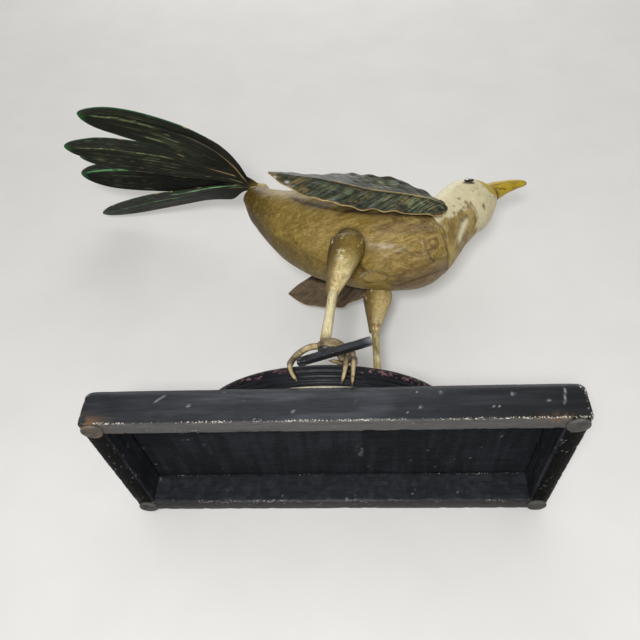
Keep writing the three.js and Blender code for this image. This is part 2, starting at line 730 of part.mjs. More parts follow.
function addLegs() {
  const toe_sets = { right: right_toes, left: standingToes() };
  ['right', 'left'].forEach((side) => {
    const body_clear = trunkLoft(gap, 0, 1, 40, 26);
    add(`${side}_thigh`, cut(thighRod(side), [body_clear, thighDowel(side, gap), shankRod(side, gap)]), ochre_varnish);
    add(`${side}_thigh_dowel`, thighDowel(side, 0), bare_wood);
    const palm_tools = [shankRod(side, gap)];
    Object.entries(toe_sets[side]).forEach(([name, points]) => {
      add(`${side}_${name}`, toeRod(points, 0), cream_paint);
      palm_tools.push(toeRod(points, gap));
    });
    if (side === 'left') palm_tools.push(footPin(gap));
    if (side === 'right') palm_tools.push(perchBar(gap));
    add(`${side}_foot`, cut(palmBlank(side), palm_tools), cream_paint);
    const shank_tools = side === 'left' ? [footPin(gap)] : [];
    add(`${side}_shank`, cut(shankRod(side, 0), shank_tools), cream_paint);
  });
  add('left_foot_pin', footPin(0), bright_steel);
}

// Nails

function ringAcross(centre, direction, radius, sides) {
  const fore = vec(0, 1, 0).cross(direction).normalize();
  const out = direction.clone().cross(fore).normalize();
  const ring = [];
  for (let i = 0; i < sides; i += 1) {
    const angle = (2 * Math.PI * i) / sides;
    ring.push(centre.clone()
      .addScaledVector(fore, radius * Math.cos(angle))
      .addScaledVector(out, radius * Math.sin(angle)));
  }
  return ring;
}

function nailAt(point, direction, length, growth) {
  const sides = 10;
  const ring = (along, radius) => ringAcross(point.clone().addScaledVector(direction, along), direction, radius, sides);
  const shank_radius = nail.shank / 2 + growth;
  const tip = ring(-length - growth, shank_radius);
  if (growth > 0) return loft([tip, ring(0, shank_radius)]);
  return loft([tip, ring(0, shank_radius), ring(0, nail.head / 2), ring(nail.thickness, nail.head / 2)]);
}

const wingNails = (growth) => wing_nail.places.map(([share, across]) => {
  const normal = wingNormal(share, across);
  const seat = wingPoint(share, across).addScaledVector(normal, sheet / 2 + gap);
  return nailAt(seat, normal, wing_nail.length, growth);
});

const tailNails = (growth) => tail_nail.places.map((along) => {
  const { root, out } = featherPlane({ level: 2, side: 0 });
  const up = vec(out.z, 0, -out.x);
  const seat = root.clone().addScaledVector(out, along).addScaledVector(up, sheet / 2 + 2 * gap);
  return nailAt(seat, up, tail_nail.length, growth);
});

addBase();
addGlides();
add('platform', cut(platformBlank(), [footPin(gap)]), black_paint);
add('perch_bar', perchBar(0), black_paint);
addLegs();

const dowel_from = joint_centre.clone().addScaledVector(joint_axis, -neck_dowel.length / 2);
const dowel_to = joint_centre.clone().addScaledVector(joint_axis, neck_dowel.length / 2);
const neckDowel = (growth) => straightRod(
  dowel_from.clone().addScaledVector(joint_axis, -growth),
  dowel_to.clone().addScaledVector(joint_axis, growth),
  neck_dowel.diameter / 2 + growth,
);

const wing_holes = wingNails(gap);
const both_wing_holes = [...wing_holes, ...wing_holes.map(mirrored)];
const tail_holes = tailNails(gap);
const thigh_holes = [thighDowel('right', gap), thighDowel('left', gap)];
const face_seats = [beakTenon(gap), eyeBead(1, gap), eyeBead(-1, gap)];

// A flat rest for the feathers, built up on the rump and one with it.
function tailRest() {
  const { root, out } = featherPlane(feathers[0]);
  const up = vec(out.z, 0, -out.x);
  const block = new THREE.BoxGeometry(tail_rest.length, tail_rest.width, tail_rest.depth);
  block.applyMatrix4(new THREE.Matrix4().makeBasis(out, vec(0, 1, 0), up.clone().negate()));
  const centre = root.clone().addScaledVector(out, tang.start + tail_rest.length / 2)
    .addScaledVector(up, -sheet / 2 - tail_rest.clear - tail_rest.depth / 2);
  block.translate(centre.x, bird_line, centre.z);
  return block;
}

const rump = geometryFrom(solidOf(whole_trunk).add(solidOf(tailRest())));

add('body', cut(common(rump, sideOfJoint(-1)), [neckDowel(gap), ...thigh_holes, ...tail_holes, ...both_wing_holes]), ochre_varnish);
add('head', cut(common(whole_trunk, sideOfJoint(1)), [neckDowel(gap), ...face_seats, ...both_wing_holes]), cream_paint);
add('neck_dowel', cut(neckDowel(0), both_wing_holes), bare_wood);
add('beak', geometryFrom(solidOf(beakBlank()).add(solidOf(beakTenon(0)))), yellow_paint);
add('right_eye', eyeBead(1, 0), black_glass);
add('left_eye', eyeBead(-1, 0), black_glass);
const right_wing = cut(wingSheet(), wing_holes);
add('right_wing', right_wing, green_metal);
add('left_wing', mirrored(right_wing), brown_metal);
wingNails(0).forEach((piece, index) => {
  add(`right_wing_nail_${index + 1}`, piece, bright_steel);
  add(`left_wing_nail_${index + 1}`, mirrored(piece), bright_steel);
});
feathers.forEach((shape) => add(shape.name, cut(featherSheet(shape, sheet), tail_holes), green_metal));
tailNails(0).forEach((piece, index) => add(`tail_nail_${index + 1}`, piece, bright_steel));

const box = new THREE.Box3().setFromObject(figurine);
const middle = box.getCenter(vec(0, 0, 0));
figurine.position.set(-middle.x, -middle.y, -box.min.z);
figurine.updateMatrixWorld(true);

export default figurine;
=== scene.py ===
# Looks of the carved bird figurine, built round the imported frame.
# Shapes are given in millimetres in the base's own frame, as the part's source gives them, and
# are moved to the row frame and turned into metres when a mesh is made.
import math

import bpy
import numpy as np
from mathutils import Matrix, Vector


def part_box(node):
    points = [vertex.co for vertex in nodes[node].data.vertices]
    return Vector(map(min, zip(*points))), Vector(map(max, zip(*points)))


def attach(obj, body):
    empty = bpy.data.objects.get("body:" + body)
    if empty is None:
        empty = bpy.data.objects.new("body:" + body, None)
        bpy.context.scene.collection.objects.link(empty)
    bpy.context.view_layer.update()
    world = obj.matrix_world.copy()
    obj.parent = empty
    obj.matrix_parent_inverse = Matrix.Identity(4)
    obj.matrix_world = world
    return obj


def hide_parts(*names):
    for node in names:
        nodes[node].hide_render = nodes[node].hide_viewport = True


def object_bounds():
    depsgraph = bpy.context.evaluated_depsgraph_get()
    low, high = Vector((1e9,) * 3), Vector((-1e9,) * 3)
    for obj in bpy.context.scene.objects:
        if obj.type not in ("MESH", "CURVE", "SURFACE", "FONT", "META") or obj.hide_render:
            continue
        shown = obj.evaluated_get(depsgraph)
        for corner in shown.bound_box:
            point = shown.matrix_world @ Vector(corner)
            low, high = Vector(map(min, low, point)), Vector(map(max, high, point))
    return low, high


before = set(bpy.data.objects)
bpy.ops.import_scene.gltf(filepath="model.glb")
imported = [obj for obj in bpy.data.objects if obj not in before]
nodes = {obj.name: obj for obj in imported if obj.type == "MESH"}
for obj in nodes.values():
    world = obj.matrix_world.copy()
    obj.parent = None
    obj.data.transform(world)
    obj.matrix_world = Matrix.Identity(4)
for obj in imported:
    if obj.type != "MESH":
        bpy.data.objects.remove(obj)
cad_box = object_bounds()

MM = 0.001
BASE_LENGTH = 430.0
BASE_WIDTH = 191.0
RAIL = 19.0
PLATFORM_FLOOR = 36.8
PLATFORM_TOP = 60.6
BIRD_LINE = -28.0
FLANK = 0.95
SHEET = 1.2
GAP = 0.3
rail_corner = np.array(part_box("front_rail")[0]) / MM
SHIFT = rail_corner - np.array([-BASE_LENGTH / 2, -BASE_WIDTH / 2, 0.0])
PLATFORM_HALF = (124.0, 90.5)
PLATFORM_X = -7.0
LEFT_FOOT = np.array([46.0, 16.0, PLATFORM_TOP])
FAR = 1e9
ROUND = 2 * math.pi
SIDES = ("right", "left")
THIGH_DEPTH = 0.85

# Colours, as linear red, green and blue
OCHRE_DEEP = (0.115, 0.068, 0.012)
OCHRE = (0.255, 0.172, 0.036)
OCHRE_PALE = (0.430, 0.325, 0.125)
OLIVE = (0.175, 0.118, 0.020)
MAUVE = (0.185, 0.130, 0.078)
UMBER = (0.040, 0.024, 0.010)
CREAM = (0.590, 0.525, 0.325)
CREAM_WORN = (0.450, 0.370, 0.180)
BEAK_YELLOW = (0.430, 0.295, 0.018)
BEAK_PALE = (0.540, 0.400, 0.050)
BLACK_PAINT = (0.022, 0.024, 0.029)
GREY_PAINT = (0.052, 0.056, 0.067)
BARE_GESSO = (0.560, 0.520, 0.430)
RUST = (0.210, 0.118, 0.050)
PINK_WEAR = (0.200, 0.095, 0.105)
LEAF_BLACK = (0.020, 0.023, 0.013)
LEAF_GREEN = (0.055, 0.078, 0.032)
LEAF_LIGHT = (0.190, 0.235, 0.110)
LEAF_BRIGHT = (0.020, 0.120, 0.030)
BRONZE = (0.170, 0.110, 0.032)
BRASS = (0.470, 0.335, 0.140)
LEAF_BROWN = (0.125, 0.089, 0.056)
CREAM_CLEAN = (0.700, 0.660, 0.480)
CREAM_DIRT = (0.300, 0.250, 0.150)
THROAT_LIGHT = (0.700, 0.640, 0.430)
FRECKLE = (0.110, 0.065, 0.028)
BEAK_TOP_SHADE = (0.085, 0.068, 0.018)
BEAK_TIP = (0.120, 0.060, 0.020)
EYE_BLACK = (0.012, 0.010, 0.009)
EYE_RIM = (0.030, 0.020, 0.012)
EYE_GLINT = (0.800, 0.800, 0.780)
LEAF_HOLLOW = (0.007, 0.008, 0.005)
LEAF_GROOVE = (0.008, 0.008, 0.006)
FLANK_SHADE = (0.008, 0.006, 0.004)
FEATHER_BLACK = (0.008, 0.009, 0.005)
FEATHER_GREY = (0.031, 0.031, 0.020)
PUTTY = (0.340, 0.265, 0.135)
LEG_STREAK = (0.200, 0.125, 0.050)
THIGH_PALE = (0.690, 0.580, 0.305)
THIGH_KHAKI = (0.520, 0.420, 0.210)
THIGH_GLINT = (0.720, 0.660, 0.450)
THIGH_STREAK = (0.160, 0.095, 0.035)
THIGH_RING = (0.160, 0.075, 0.030)
TOE_BONE = (0.400, 0.310, 0.160)
TOE_BROWN = (0.150, 0.105, 0.055)
TOE_LINE = (0.105, 0.066, 0.030)
TOE_SHADE = (0.095, 0.062, 0.032)
PALM_BROWN = (0.165, 0.120, 0.062)
PALM_DARK = (0.080, 0.050, 0.022)
PALM_SHADE = (0.006, 0.006, 0.007)
BASE_OUTSIDE = (0.055, 0.060, 0.072)
BASE_UNDER = (0.056, 0.053, 0.050)
BASE_INSIDE_SHADE = (0.014, 0.015, 0.017)
BASE_SCRATCH = (0.320, 0.330, 0.340)
BASE_SMEAR = (0.220, 0.240, 0.240)
BASE_FLECK = (0.300, 0.310, 0.310)
BAR_BLACK = (0.022, 0.023, 0.026)
BAR_WEAR_AND_HIGHLIGHT = (0.400, 0.430, 0.460)
BAR_LEFT_WEAR_AND_HIGHLIGHT = (0.360, 0.380, 0.400)
FELT = (0.095, 0.090, 0.083)
FELT_DIRT = (0.050, 0.047, 0.043)
REED_BLACK = (0.005, 0.006, 0.008)
REED_HIGHLIGHT = (0.120, 0.127, 0.140)
REED_CHIP = (0.300, 0.170, 0.170)
BARE_FOOT = (0.500, 0.460, 0.340)
TOP_GRAIN = (0.075, 0.068, 0.066)


# Numbers

def ease(value, start, end):
    share = np.clip((value - start) / (end - start), 0.0, 1.0)
    return share * share * (3.0 - 2.0 * share)


def fall(value, start, end):
    return 1 - ease(value, start, end)


def bell(value, width):
    return np.exp(-((value / width) ** 2))


def unit(vectors):
    return vectors / np.maximum(np.linalg.norm(vectors, axis=-1, keepdims=True), 1e-9)


def distance(points, centre, size=1.0):
    """How far points are from a centre, counted in sizes."""
    return np.linalg.norm((points - np.asarray(centre, float)) / np.asarray(size, float), axis=-1)


def circle(sides):
    """Cosines and sines round a ring, as one row each."""
    angle = np.linspace(0, ROUND, sides, endpoint=False)
    return np.cos(angle)[None, :], np.sin(angle)[None, :]


def lattice(ix, iy, iz, seed):
    """A steady random number from -1 to 1 for each corner of a lattice."""
    with np.errstate(over="ignore"):
        mixed = ix.astype(np.uint64) * np.uint64(374761393)
        mixed += iy.astype(np.uint64) * np.uint64(668265263)
        mixed += iz.astype(np.uint64) * np.uint64(3266489917)
        mixed += np.uint64(seed * 974634777 + 12345)
        mixed &= np.uint64(0xFFFFFFFF)
        mixed ^= mixed >> np.uint64(13)
        mixed *= np.uint64(1274126177)
        mixed &= np.uint64(0xFFFFFFFF)
        mixed ^= mixed >> np.uint64(16)
    return mixed.astype(float) / 2147483647.5 - 1.0


def noise(points, size, seed):
    """Smooth random values at points. size is the width of its blobs, one number or three."""
    place = points / np.asarray(size, float) + 500.0
    corner = np.floor(place)
    part = place - corner
    part = part ** 3 * (part * (part * 6.0 - 15.0) + 10.0)
    corner = corner.astype(np.int64)
    total = np.zeros(points.shape[:-1])
    for dx in (0, 1):
        wx = part[..., 0] if dx else 1.0 - part[..., 0]
        for dy in (0, 1):
            wy = part[..., 1] if dy else 1.0 - part[..., 1]
            for dz in (0, 1):
                wz = part[..., 2] if dz else 1.0 - part[..., 2]
                value = lattice(corner[..., 0] + dx, corner[..., 1] + dy, corner[..., 2] + dz, seed)
                total += wx * wy * wz * value
    return total


def rough(points, size, seed):
    """Noise in layers, each half as wide and half as strong as the one before."""
    size = np.asarray(size, float)
    total = np.zeros(points.shape[:-1])
    for layer in range(3):
        total += 0.5 ** layer * noise(points, size / 2.0 ** layer, seed + 7 * layer)
    return total / 1.4


def line_distance(points, line):
    """How far each point is from a line through several points, closed or open."""
    line = np.asarray(line, float)
    nearest = np.full(points.shape[:-1], FAR)
    for a, b in zip(line[:-1], line[1:]):
        d = b - a
        share = np.clip(((points - a) @ d) / (d @ d), 0.0, 1.0)
        nearest = np.minimum(nearest, distance(points, a + share[..., None] * d))
    return nearest


def stroke(points, line, width):
    return bell(line_distance(points, line), width)


def spot(points, centre, size):
    return bell(distance(points, centre), size)


def cubic_course(ats, values, t):
    """Smooth values through stations, the way the part's source joins them."""
    ats = np.asarray(ats, float)
    values = np.asarray(values, float)
    t = np.clip(np.asarray(t, float), ats[0], ats[-1])
    last = len(ats) - 1
    i = np.clip(np.searchsorted(ats, t, side="right"), 1, last)
    t0 = ats[i - 1]
    t1 = ats[i]
    before = np.where(i >= 2, i - 2, i)
    after = np.where(i < last, np.minimum(i + 1, last), i - 1)
    half = 0.5 * (t1 - t0)
    wp = half / (t0 - ats[before])
    wn = half / (ats[after] - t1)
    p = (t - t0) / (t1 - t0)
    p2 = p * p
    p3 = p2 * p
    sp = -wp * p3 + 2 * wp * p2 - wp * p
    s0 = (1 + wp) * p3 + (-1.5 - 2 * wp) * p2 + (-0.5 + wp) * p + 1
    s1 = (-1 - wn) * p3 + (1.5 + wn) * p2 + 0.5 * p
    sn = wn * p3 - wn * p2
    weights = [(sp, before), (s0, i - 1), (s1, i), (sn, after)]
    if values.ndim == 1:
        return sum(w * values[k] for w, k in weights)
    return sum(w[:, None] * values[k] for w, k in weights)


def through_points(points, t):
    """Centripetal Catmull-Rom curve at parameters from 0 to 1."""
    p = np.asarray(points, float)
    p = np.vstack([2 * p[0] - p[1], p, 2 * p[-1] - p[-2]])
    spans = len(points) - 1
    place = np.clip(t, 0, 1) * spans
    i = np.minimum(place.astype(int), spans - 1)
    w = (place - i)[:, None]
    x0, x1, x2, x3 = p[i], p[i + 1], p[i + 2], p[i + 3]
    d0 = np.sqrt(np.linalg.norm(x1 - x0, axis=1))[:, None]
    d1 = np.sqrt(np.linalg.norm(x2 - x1, axis=1))[:, None]
    d2 = np.sqrt(np.linalg.norm(x3 - x2, axis=1))[:, None]
    m1 = ((x1 - x0) / d0 - (x2 - x0) / (d0 + d1) + (x2 - x1) / d1) * d1
    m2 = ((x2 - x1) / d1 - (x3 - x1) / (d1 + d2) + (x3 - x2) / d2) * d1
    return (x1 + m1 * w + (-3 * x1 + 3 * x2 - 2 * m1 - m2) * w ** 2
            + (2 * x1 - 2 * x2 + m1 + m2) * w ** 3)


def along_curve(points, count, even=True):
    """Points and headings on a smooth curve, evenly spaced along it where even is set."""
    share = np.linspace(0, 1, count)
    if even:
        fine = np.linspace(0, 1, 800)
        steps = np.linalg.norm(np.diff(through_points(points, fine), axis=0), axis=1)
        length = np.concatenate([[0], np.cumsum(steps)])
        share = np.interp(share * length[-1], length, fine)
    ahead = through_points(points, np.minimum(share + 1e-3, 1))
    behind = through_points(points, np.maximum(share - 1e-3, 0))
    return through_points(points, share), unit(ahead - behind)


# Meshes

def grid_faces(rows, columns):
    """Quads between rings of equal count, each ring closed."""
    r = np.arange(rows - 1)[:, None]
    c = np.arange(columns)[None, :]
    a = r * columns + c
    b = r * columns + (c + 1) % columns
    return np.stack([a, b, b + columns, a + columns], -1).reshape(-1, 4).tolist()


def ring_normals(rings):
    """Outward normals of a loft, for points that move in or out."""
    across = np.roll(rings, -1, axis=1) - np.roll(rings, 1, axis=1)
    normals = unit(np.cross(across, np.gradient(rings, axis=0)))
    middle = rings.mean(axis=1, keepdims=True)
    return -normals if ((rings - middle) * normals).sum() < 0 else normals


def carved(rings, depth):
    """Rings moved out along their normals by depth, and those normals."""
    normals = ring_normals(rings)
    return rings + normals * depth[..., None], normals


def per_ring(values, rings):
    return np.broadcast_to(values[:, None], rings.shape[:2])


def neighbour_mean(values, edges, times):
    count = np.bincount(edges.ravel(), minlength=len(values)).astype(float)
    if values.ndim > 1:
        count = count[:, None]
    for _ in range(times):
        total = np.zeros_like(values)
        np.add.at(total, edges[:, 0], values[edges[:, 1]])
        np.add.at(total, edges[:, 1], values[edges[:, 0]])
        values = 0.4 * values + 0.6 * total / np.maximum(count, 1.0)
    return values


def mesh_values(items, key, width, kind=float):
    """One property of a mesh's vertices or edges, as rows of width numbers."""
    flat = np.zeros(len(items) * width, kind)
    items.foreach_get(key, flat)
    return flat.reshape(-1, width)


class Coat:
    """Colours on a mesh's points, laid one over another."""

    def __init__(self, points, colour):
        self.colours = np.broadcast_to(np.array(colour), points.shape).copy()

    def over(self, mask, colour):
        share = np.clip(mask, 0.0, 1.0)[..., None]
        self.colours = self.colours * (1.0 - share) + np.asarray(colour) * share

    def either_way(self, values, above, below):
        """One colour where values are high and one where they are low: start, end, share, colour."""
        for sign, (start, end, share, colour) in ((1, above), (-1, below)):
            self.over(ease(sign * values, start, end) * share, colour)

    def less(self, mask, amounts):
        """Takes shares of the red, green and blue away where mask is set."""
        self.colours = self.colours * (1 - mask[..., None] * np.array(amounts))


def put_paint(mesh, coat, edge):
    solid = np.ones((len(mesh.vertices), 4), np.float32)
    solid[:, :3] = np.clip(coat.colours.reshape(-1, 3), 0.0, 1.0)
    layer = mesh.attributes.new("paint", "FLOAT_COLOR", "POINT")
    layer.data.foreach_set("color", solid.ravel())
    if edge is not None:
        layer = mesh.attributes.new("edge", "FLOAT", "POINT")
        layer.data.foreach_set("value", edge.astype(np.float32).ravel())


def link_object(name, data):
    made = bpy.data.objects.new(name, data)
    bpy.context.scene.collection.objects.link(made)
    return made


def show(name, mesh, coat, material, node, edge):
    """Paints a mesh and shows it as the piece that stands for one CAD node."""
    mesh.polygons.foreach_set("use_smooth", [True] * len(mesh.polygons))
    put_paint(mesh, coat, edge)
    mesh.materials.clear()
    mesh.materials.append(material)
    mesh.update()
    shown = link_object(name, mesh)
    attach(shown, "root")
    if node:
        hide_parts(node)


def piece(name, rings, coat, material, node, edge=None, mirrored=False):
    """A closed loft through rings, which are in millimetres in the base's frame."""
    rows, columns = rings.shape[:2]
    faces = grid_faces(rows, columns)
    faces.append(list(range(columns))[::-1])
    faces.append([(rows - 1) * columns + k for k in range(columns)])
    if mirrored:
        faces = [face[::-1] for face in faces]
    mesh = bpy.data.meshes.new(name)
    mesh.from_pydata(((rings.reshape(-1, 3) + SHIFT) * MM).tolist(), [], faces)
    mesh.validate()
    show(name, mesh, coat, material, node, edge)


# Materials

def new_material(name):
    material = bpy.data.materials.new(name)
    material.use_nodes = True
    tree = material.node_tree
    tree.nodes.clear()
    return material, tree, make(tree, "ShaderNodeTexCoord").outputs["Object"]


def make(tree, kind, **settings):
    made = tree.nodes.new(kind)
    for key, value in settings.items():
        setattr(made, key, value)
    return made


def fill(tree, socket, value):
    """Sets a plain value or colour on a socket, or links another node's output into it."""
    if isinstance(value, tuple):
        socket.default_value = (*value, 1.0)
    elif isinstance(value, (int, float)):
        socket.default_value = value
    else:
        tree.links.new(value, socket)


def fill_all(tree, made, values):
    for key, value in values.items():
        fill(tree, made.inputs[key], value)


def noise_node(tree, position, width, detail=3.0, stretch=(1, 1, 1)):
    mapping = make(tree, "ShaderNodeMapping")
    mapping.inputs["Scale"].default_value = tuple(1.0 / (width * MM * s) for s in stretch)
    tree.links.new(position, mapping.inputs["Vector"])
    texture = make(tree, "ShaderNodeTexNoise")
    fill_all(tree, texture, {
        "Scale": 1.0, "Detail": detail, "Roughness": 0.6, "Vector": mapping.outputs[0],
    })
    return texture.outputs["Fac"]


def map_range(tree, value, low, high, to_low, to_high, smooth=False):
    made = make(tree, "ShaderNodeMapRange", interpolation_type="SMOOTHSTEP" if smooth else "LINEAR")
    fill_all(tree, made, {
        "From Min": low, "From Max": high, "To Min": to_low, "To Max": to_high, "Value": value,
    })
    return made.outputs["Result"]


def maths(tree, operation, first, second):
    made = make(tree, "ShaderNodeMath", operation=operation)
    fill_all(tree, made, {0: first, 1: second})
    return made.outputs[0]


def mix_colour(tree, factor, first, second, blend="MIX"):
    made = make(tree, "ShaderNodeMix", data_type="RGBA", blend_type=blend)
    fill_all(tree, made, {0: factor, 6: first, 7: second})
    return made.outputs[2]


def mix_value(tree, factor, first, second):
    made = make(tree, "ShaderNodeMix", data_type="FLOAT")
    fill_all(tree, made, {0: factor, 2: first, 3: second})
    return made.outputs[0]


def own_paint(tree, key="paint", output="Color"):
    return make(tree, "ShaderNodeAttribute", attribute_name=key).outputs[output]


def principled(tree, values, bump=None, reach=0.0006):
    """Ends a tree in one shader. bump is a height and a strength, and reach the bumps' depth."""
    output = make(tree, "ShaderNodeOutputMaterial")
    shader = make(tree, "ShaderNodeBsdfPrincipled")
    tree.links.new(shader.outputs[0], output.inputs["Surface"])
    fill_all(tree, shader, values)
    if bump:
        bumps = make(tree, "ShaderNodeBump")
        fill_all(tree, bumps, {"Height": bump[0], "Strength": bump[1], "Distance": reach})
        tree.links.new(bumps.outputs[0], shader.inputs["Normal"])


def painted(name, grain, stretch, vary, gloss, bump, coat=0.0, chips=None, chip_colour=BARE_GESSO,
            chip_width=1.6, specular=0.5, speck=0.0):
    """Paint from a mesh's own colours, with grain, uneven gloss, small bumps and chips."""
    material, tree, position = new_material(name)
    fine = noise_node(tree, position, grain, 4.0, stretch)
    broad = noise_node(tree, position, grain * 6.0, 3.0, stretch)
    shade = map_range(tree, fine, 0.3, 0.7, vary[0], vary[1])
    wide = map_range(tree, broad, 0.3, 0.7, 0.5 + 0.5 * vary[0], 0.5 + 0.5 * vary[1])
    shade = maths(tree, "MULTIPLY", shade, wide)
    colour = mix_colour(tree, 1.0, own_paint(tree), shade, "MULTIPLY")
    height = fine
    roughness = map_range(tree, broad, 0.3, 0.7, gloss[0], gloss[1])
    if speck:
        dots = noise_node(tree, position, 1.1, 2.0)
        dots = map_range(tree, dots, 0.72, 0.76, 0.0, speck, True)
        colour = mix_colour(tree, dots, colour, UMBER)
    if chips:
        flakes = noise_node(tree, position, chip_width, 3.0)
        worn = maths(tree, "MULTIPLY", own_paint(tree, "edge", "Fac"), chips)
        chip = map_range(tree, maths(tree, "ADD", worn, flakes), 0.80, 0.84, 0.0, 1.0, True)
        colour = mix_colour(tree, chip, colour, chip_colour)
        height = maths(tree, "SUBTRACT", height, maths(tree, "MULTIPLY", chip, 0.6))
        roughness = mix_value(tree, chip, roughness, 0.8)
    principled(tree, {
        "Specular IOR Level": specular, "Coat Weight": coat, "Coat Roughness": 0.26,
        "Base Color": colour, "Roughness": roughness,
    }, (height, bump))
    return material


def stock(name, colour, dark, width, gloss, metal=0.0, stretch=(1, 1, 1)):
    """A plain finish for the small CAD pieces that are carried over, with its own variation."""
    material, tree, position = new_material(name)
    value = noise_node(tree, position, width, 4.0, stretch)
    share = map_range(tree, value, 0.35, 0.65, 0.0, 1.0)
    principled(tree, {
        "Metallic": metal, "Base Color": mix_colour(tree, share, dark, colour),
        "Roughness": map_range(tree, value, 0.3, 0.7, gloss[0], gloss[1]),
    }, (value, 0.2), 0.0003)
    return material


varnished_wood = painted("varnished_wood", 1.3, (3.4, 1, 1), (0.72, 1.28), (0.42, 0.62), 0.8, 0.18,
                         speck=0.6, specular=0.16)
painted_head = painted("painted_head", 1.3, (1, 1, 1), (0.90, 1.08), (0.42, 0.60), 0.5, 0.08,
                       speck=0.35, specular=0.25)
yellow_beak = painted("yellow_beak", 1.1, (2, 1, 1), (0.80, 1.16), (0.35, 0.5), 0.5, 0.10,
                      specular=0.15)
bone_legs = painted("bone_legs", 1.0, (1, 1, 2.6), (0.76, 1.22), (0.34, 0.52), 0.75, 0.18,
                    speck=0.6, specular=0.22)
leaf_metal = painted("leaf_metal", 0.9, (3.0, 1, 1), (0.66, 1.34), (0.38, 0.54), 0.4, 0.12,
                     specular=0.10)
feather_metal = painted("feather_metal", 0.9, (9.0, 1, 3.0), (0.66, 1.34), (0.40, 0.56), 0.25,
                        specular=0.14)
black_wood = painted("black_wood", 1.0, (14, 1, 1), (0.74, 1.26), (0.36, 0.52), 0.4,
                     chips=0.21, chip_width=1.2, specular=0.18)
black_ends = painted("black_ends", 1.0, (1, 14, 1), (0.74, 1.26), (0.36, 0.52), 0.4,
                     chips=0.15, specular=0.14)
black_reeds = painted("black_reeds", 1.1, (2, 2, 1), (0.78, 1.22), (0.30, 0.44), 0.35,
                      chips=0.14, chip_colour=REED_CHIP, chip_width=1.3, specular=0.12)
glide_felt = painted("glide_felt", 0.8, (1, 1, 1), (0.75, 1.25), (0.6, 0.8), 0.4)
pin_steel = stock("pin_steel", (0.35, 0.34, 0.32), (0.12, 0.10, 0.08), 1.2, (0.35, 0.55), 1.0)
nail_green = stock("nail_green", (0.10, 0.12, 0.075), (0.03, 0.032, 0.02), 1.0, (0.4, 0.6), 0.2)
dowel_wood = stock("dowel_wood", (0.48, 0.33, 0.17), (0.30, 0.19, 0.09), 1.5, (0.6, 0.8), 0.0,
                   (1, 6, 1))


# Trunk: body and head, carved from one course of sections

TRUNK = np.array([
    (0.00, -108, 306, 13.5, -50),
    (0.09, -87, 282, 26.5, -44),
    (0.20, -51, 253, 42.5, -34),
    (0.31, -12, 231, 54.5, -25),
    (0.42, 25, 217, 55.5, -18),
    (0.53, 65, 206, 53, -9),
    (0.62, 94, 203.5, 49, 6),
    (0.70, 113, 213.5, 41.5, 26),
    (0.77, 129, 236, 35, 45),
    (0.83, 145, 255, 34, 49),
    (0.89, 162, 272, 34.5, 43),
    (0.95, 178, 285, 26, 39),
    (1.00, 189, 293, 15, 45),
])
NECK = np.array([111.0, BIRD_LINE, PLATFORM_TOP + 212.0])
NECK_TILT = math.radians(24)
NECK_AXIS = np.array([math.cos(NECK_TILT), 0, math.sin(NECK_TILT)])

# Marks on the trunk, as lines through points of its surface
thigh_crevice = [(25.9, -47.8, 224.5), (29.1, -43.8, 222.1), (32.3, -39.6, 219.9),
                 (32.8, -32.5, 218.8)]
lens_edge = [(28.8, -28.8, 219.3), (35.6, -35.8, 218.7), (44.5, -39.2, 217.4), (53.3, -37.9, 216.0),
             (59.9, -32.6, 214.5), (55.6, -25.1, 214.8), (46.6, -20.9, 216.6), (35.4, -21.8, 218.5),
             (28.8, -28.8, 219.3)]
belly_ridge = [(60, -21, 214.2), (69.2, -17.0, 214.6), (84.4, -26.2, 213.3), (101.0, -30.4, 216.3),
               (116.1, -29.6, 224.1), (127.5, -25.4, 233.7)]
knot_line = [(99.4, -63.8, 234.5), (102.0, -58.3, 229.2), (105.9, -51.0, 225.5),
             (110.7, -44.2, 224.2)]
knot_ring = [(105.1, -63.4, 237.7), (107.2, -59.5, 233.9), (112.9, -56.0, 234.1),
             (116.5, -57.2, 238.9), (113.2, -61.6, 242.3), (107.4, -64.1, 240.1),
             (105.1, -63.4, 237.7)]
scratch = [(57.8, -57.3, 224.6), (65.4, -60.6, 226.3), (73.1, -62.4, 228.1), (78.5, -64.4, 230.4)]
throat_seam = [(115.9, -66.4, 264.2), (121.1, -63.1, 257.8), (124.5, -58.9, 251.8),
               (125.5, -54.0, 244.8), (126.4, -47.4, 239.3), (129.3, -38.1, 236.9)]
pits = [(-51.6, -53.3, 265.6), (-46.8, -51.4, 259.1), (-43.3, -50.3, 255.2)]
head_dabs = [(137.8, -58.9, 286.2), (146.7, -56.3, 292.0), (149.7, -51.7, 285.0),
             (147.0, -51.7, 280.9), (152.5, -51.5, 288.5), (145.9, -59.8, 308.8),
             (153.7, -57.2, 304.3), (155.7, -55.0, 299.8), (175.4, -48.4, 307.9)]
throat_streak = [(151.4, -48.4, 281.8), (146.3, -46.6, 270.7), (142.6, -44.1, 260.5)]
throat_crack = [(158.6, -56.0, 305.5), (163.3, -52.3, 302.5), (166.9, -46.5, 298.4),
                (168.3, -40.3, 294.8)]
chin_crease = [(174.4, -50.0, 311.0), (175.4, -48.4, 307.9), (177.4, -44.6, 306.0)]

# How deep and how wide each mark is cut
CUTS = (
    (thigh_crevice, 1.6, 2.2), (lens_edge, 0.9, 1.3), (belly_ridge, 0.7, 1.6), (knot_line, 0.8, 0.9),
    (knot_ring, 0.6, 1.0), (scratch, 0.5, 1.0), (throat_seam, 0.8, 1.3), (throat_crack, 0.5, 1.2),
    (chin_crease, 0.5, 1.2),
)
# How wide and how dark each mark on the body is painted; the dark line in the thigh crevice is painted
# shade
BODY_LINES = (
    (thigh_crevice, 2.6, 0.9), (lens_edge, 1.1, 0.75), (belly_ridge, 1.3, 0.75),
    (knot_line, 1.1, 0.8), (knot_ring, 1.1, 0.7), (throat_seam, 1.2, 0.6),
)
PIT_DEPTH = 0.7
JOINT_WIDTH = 0.8


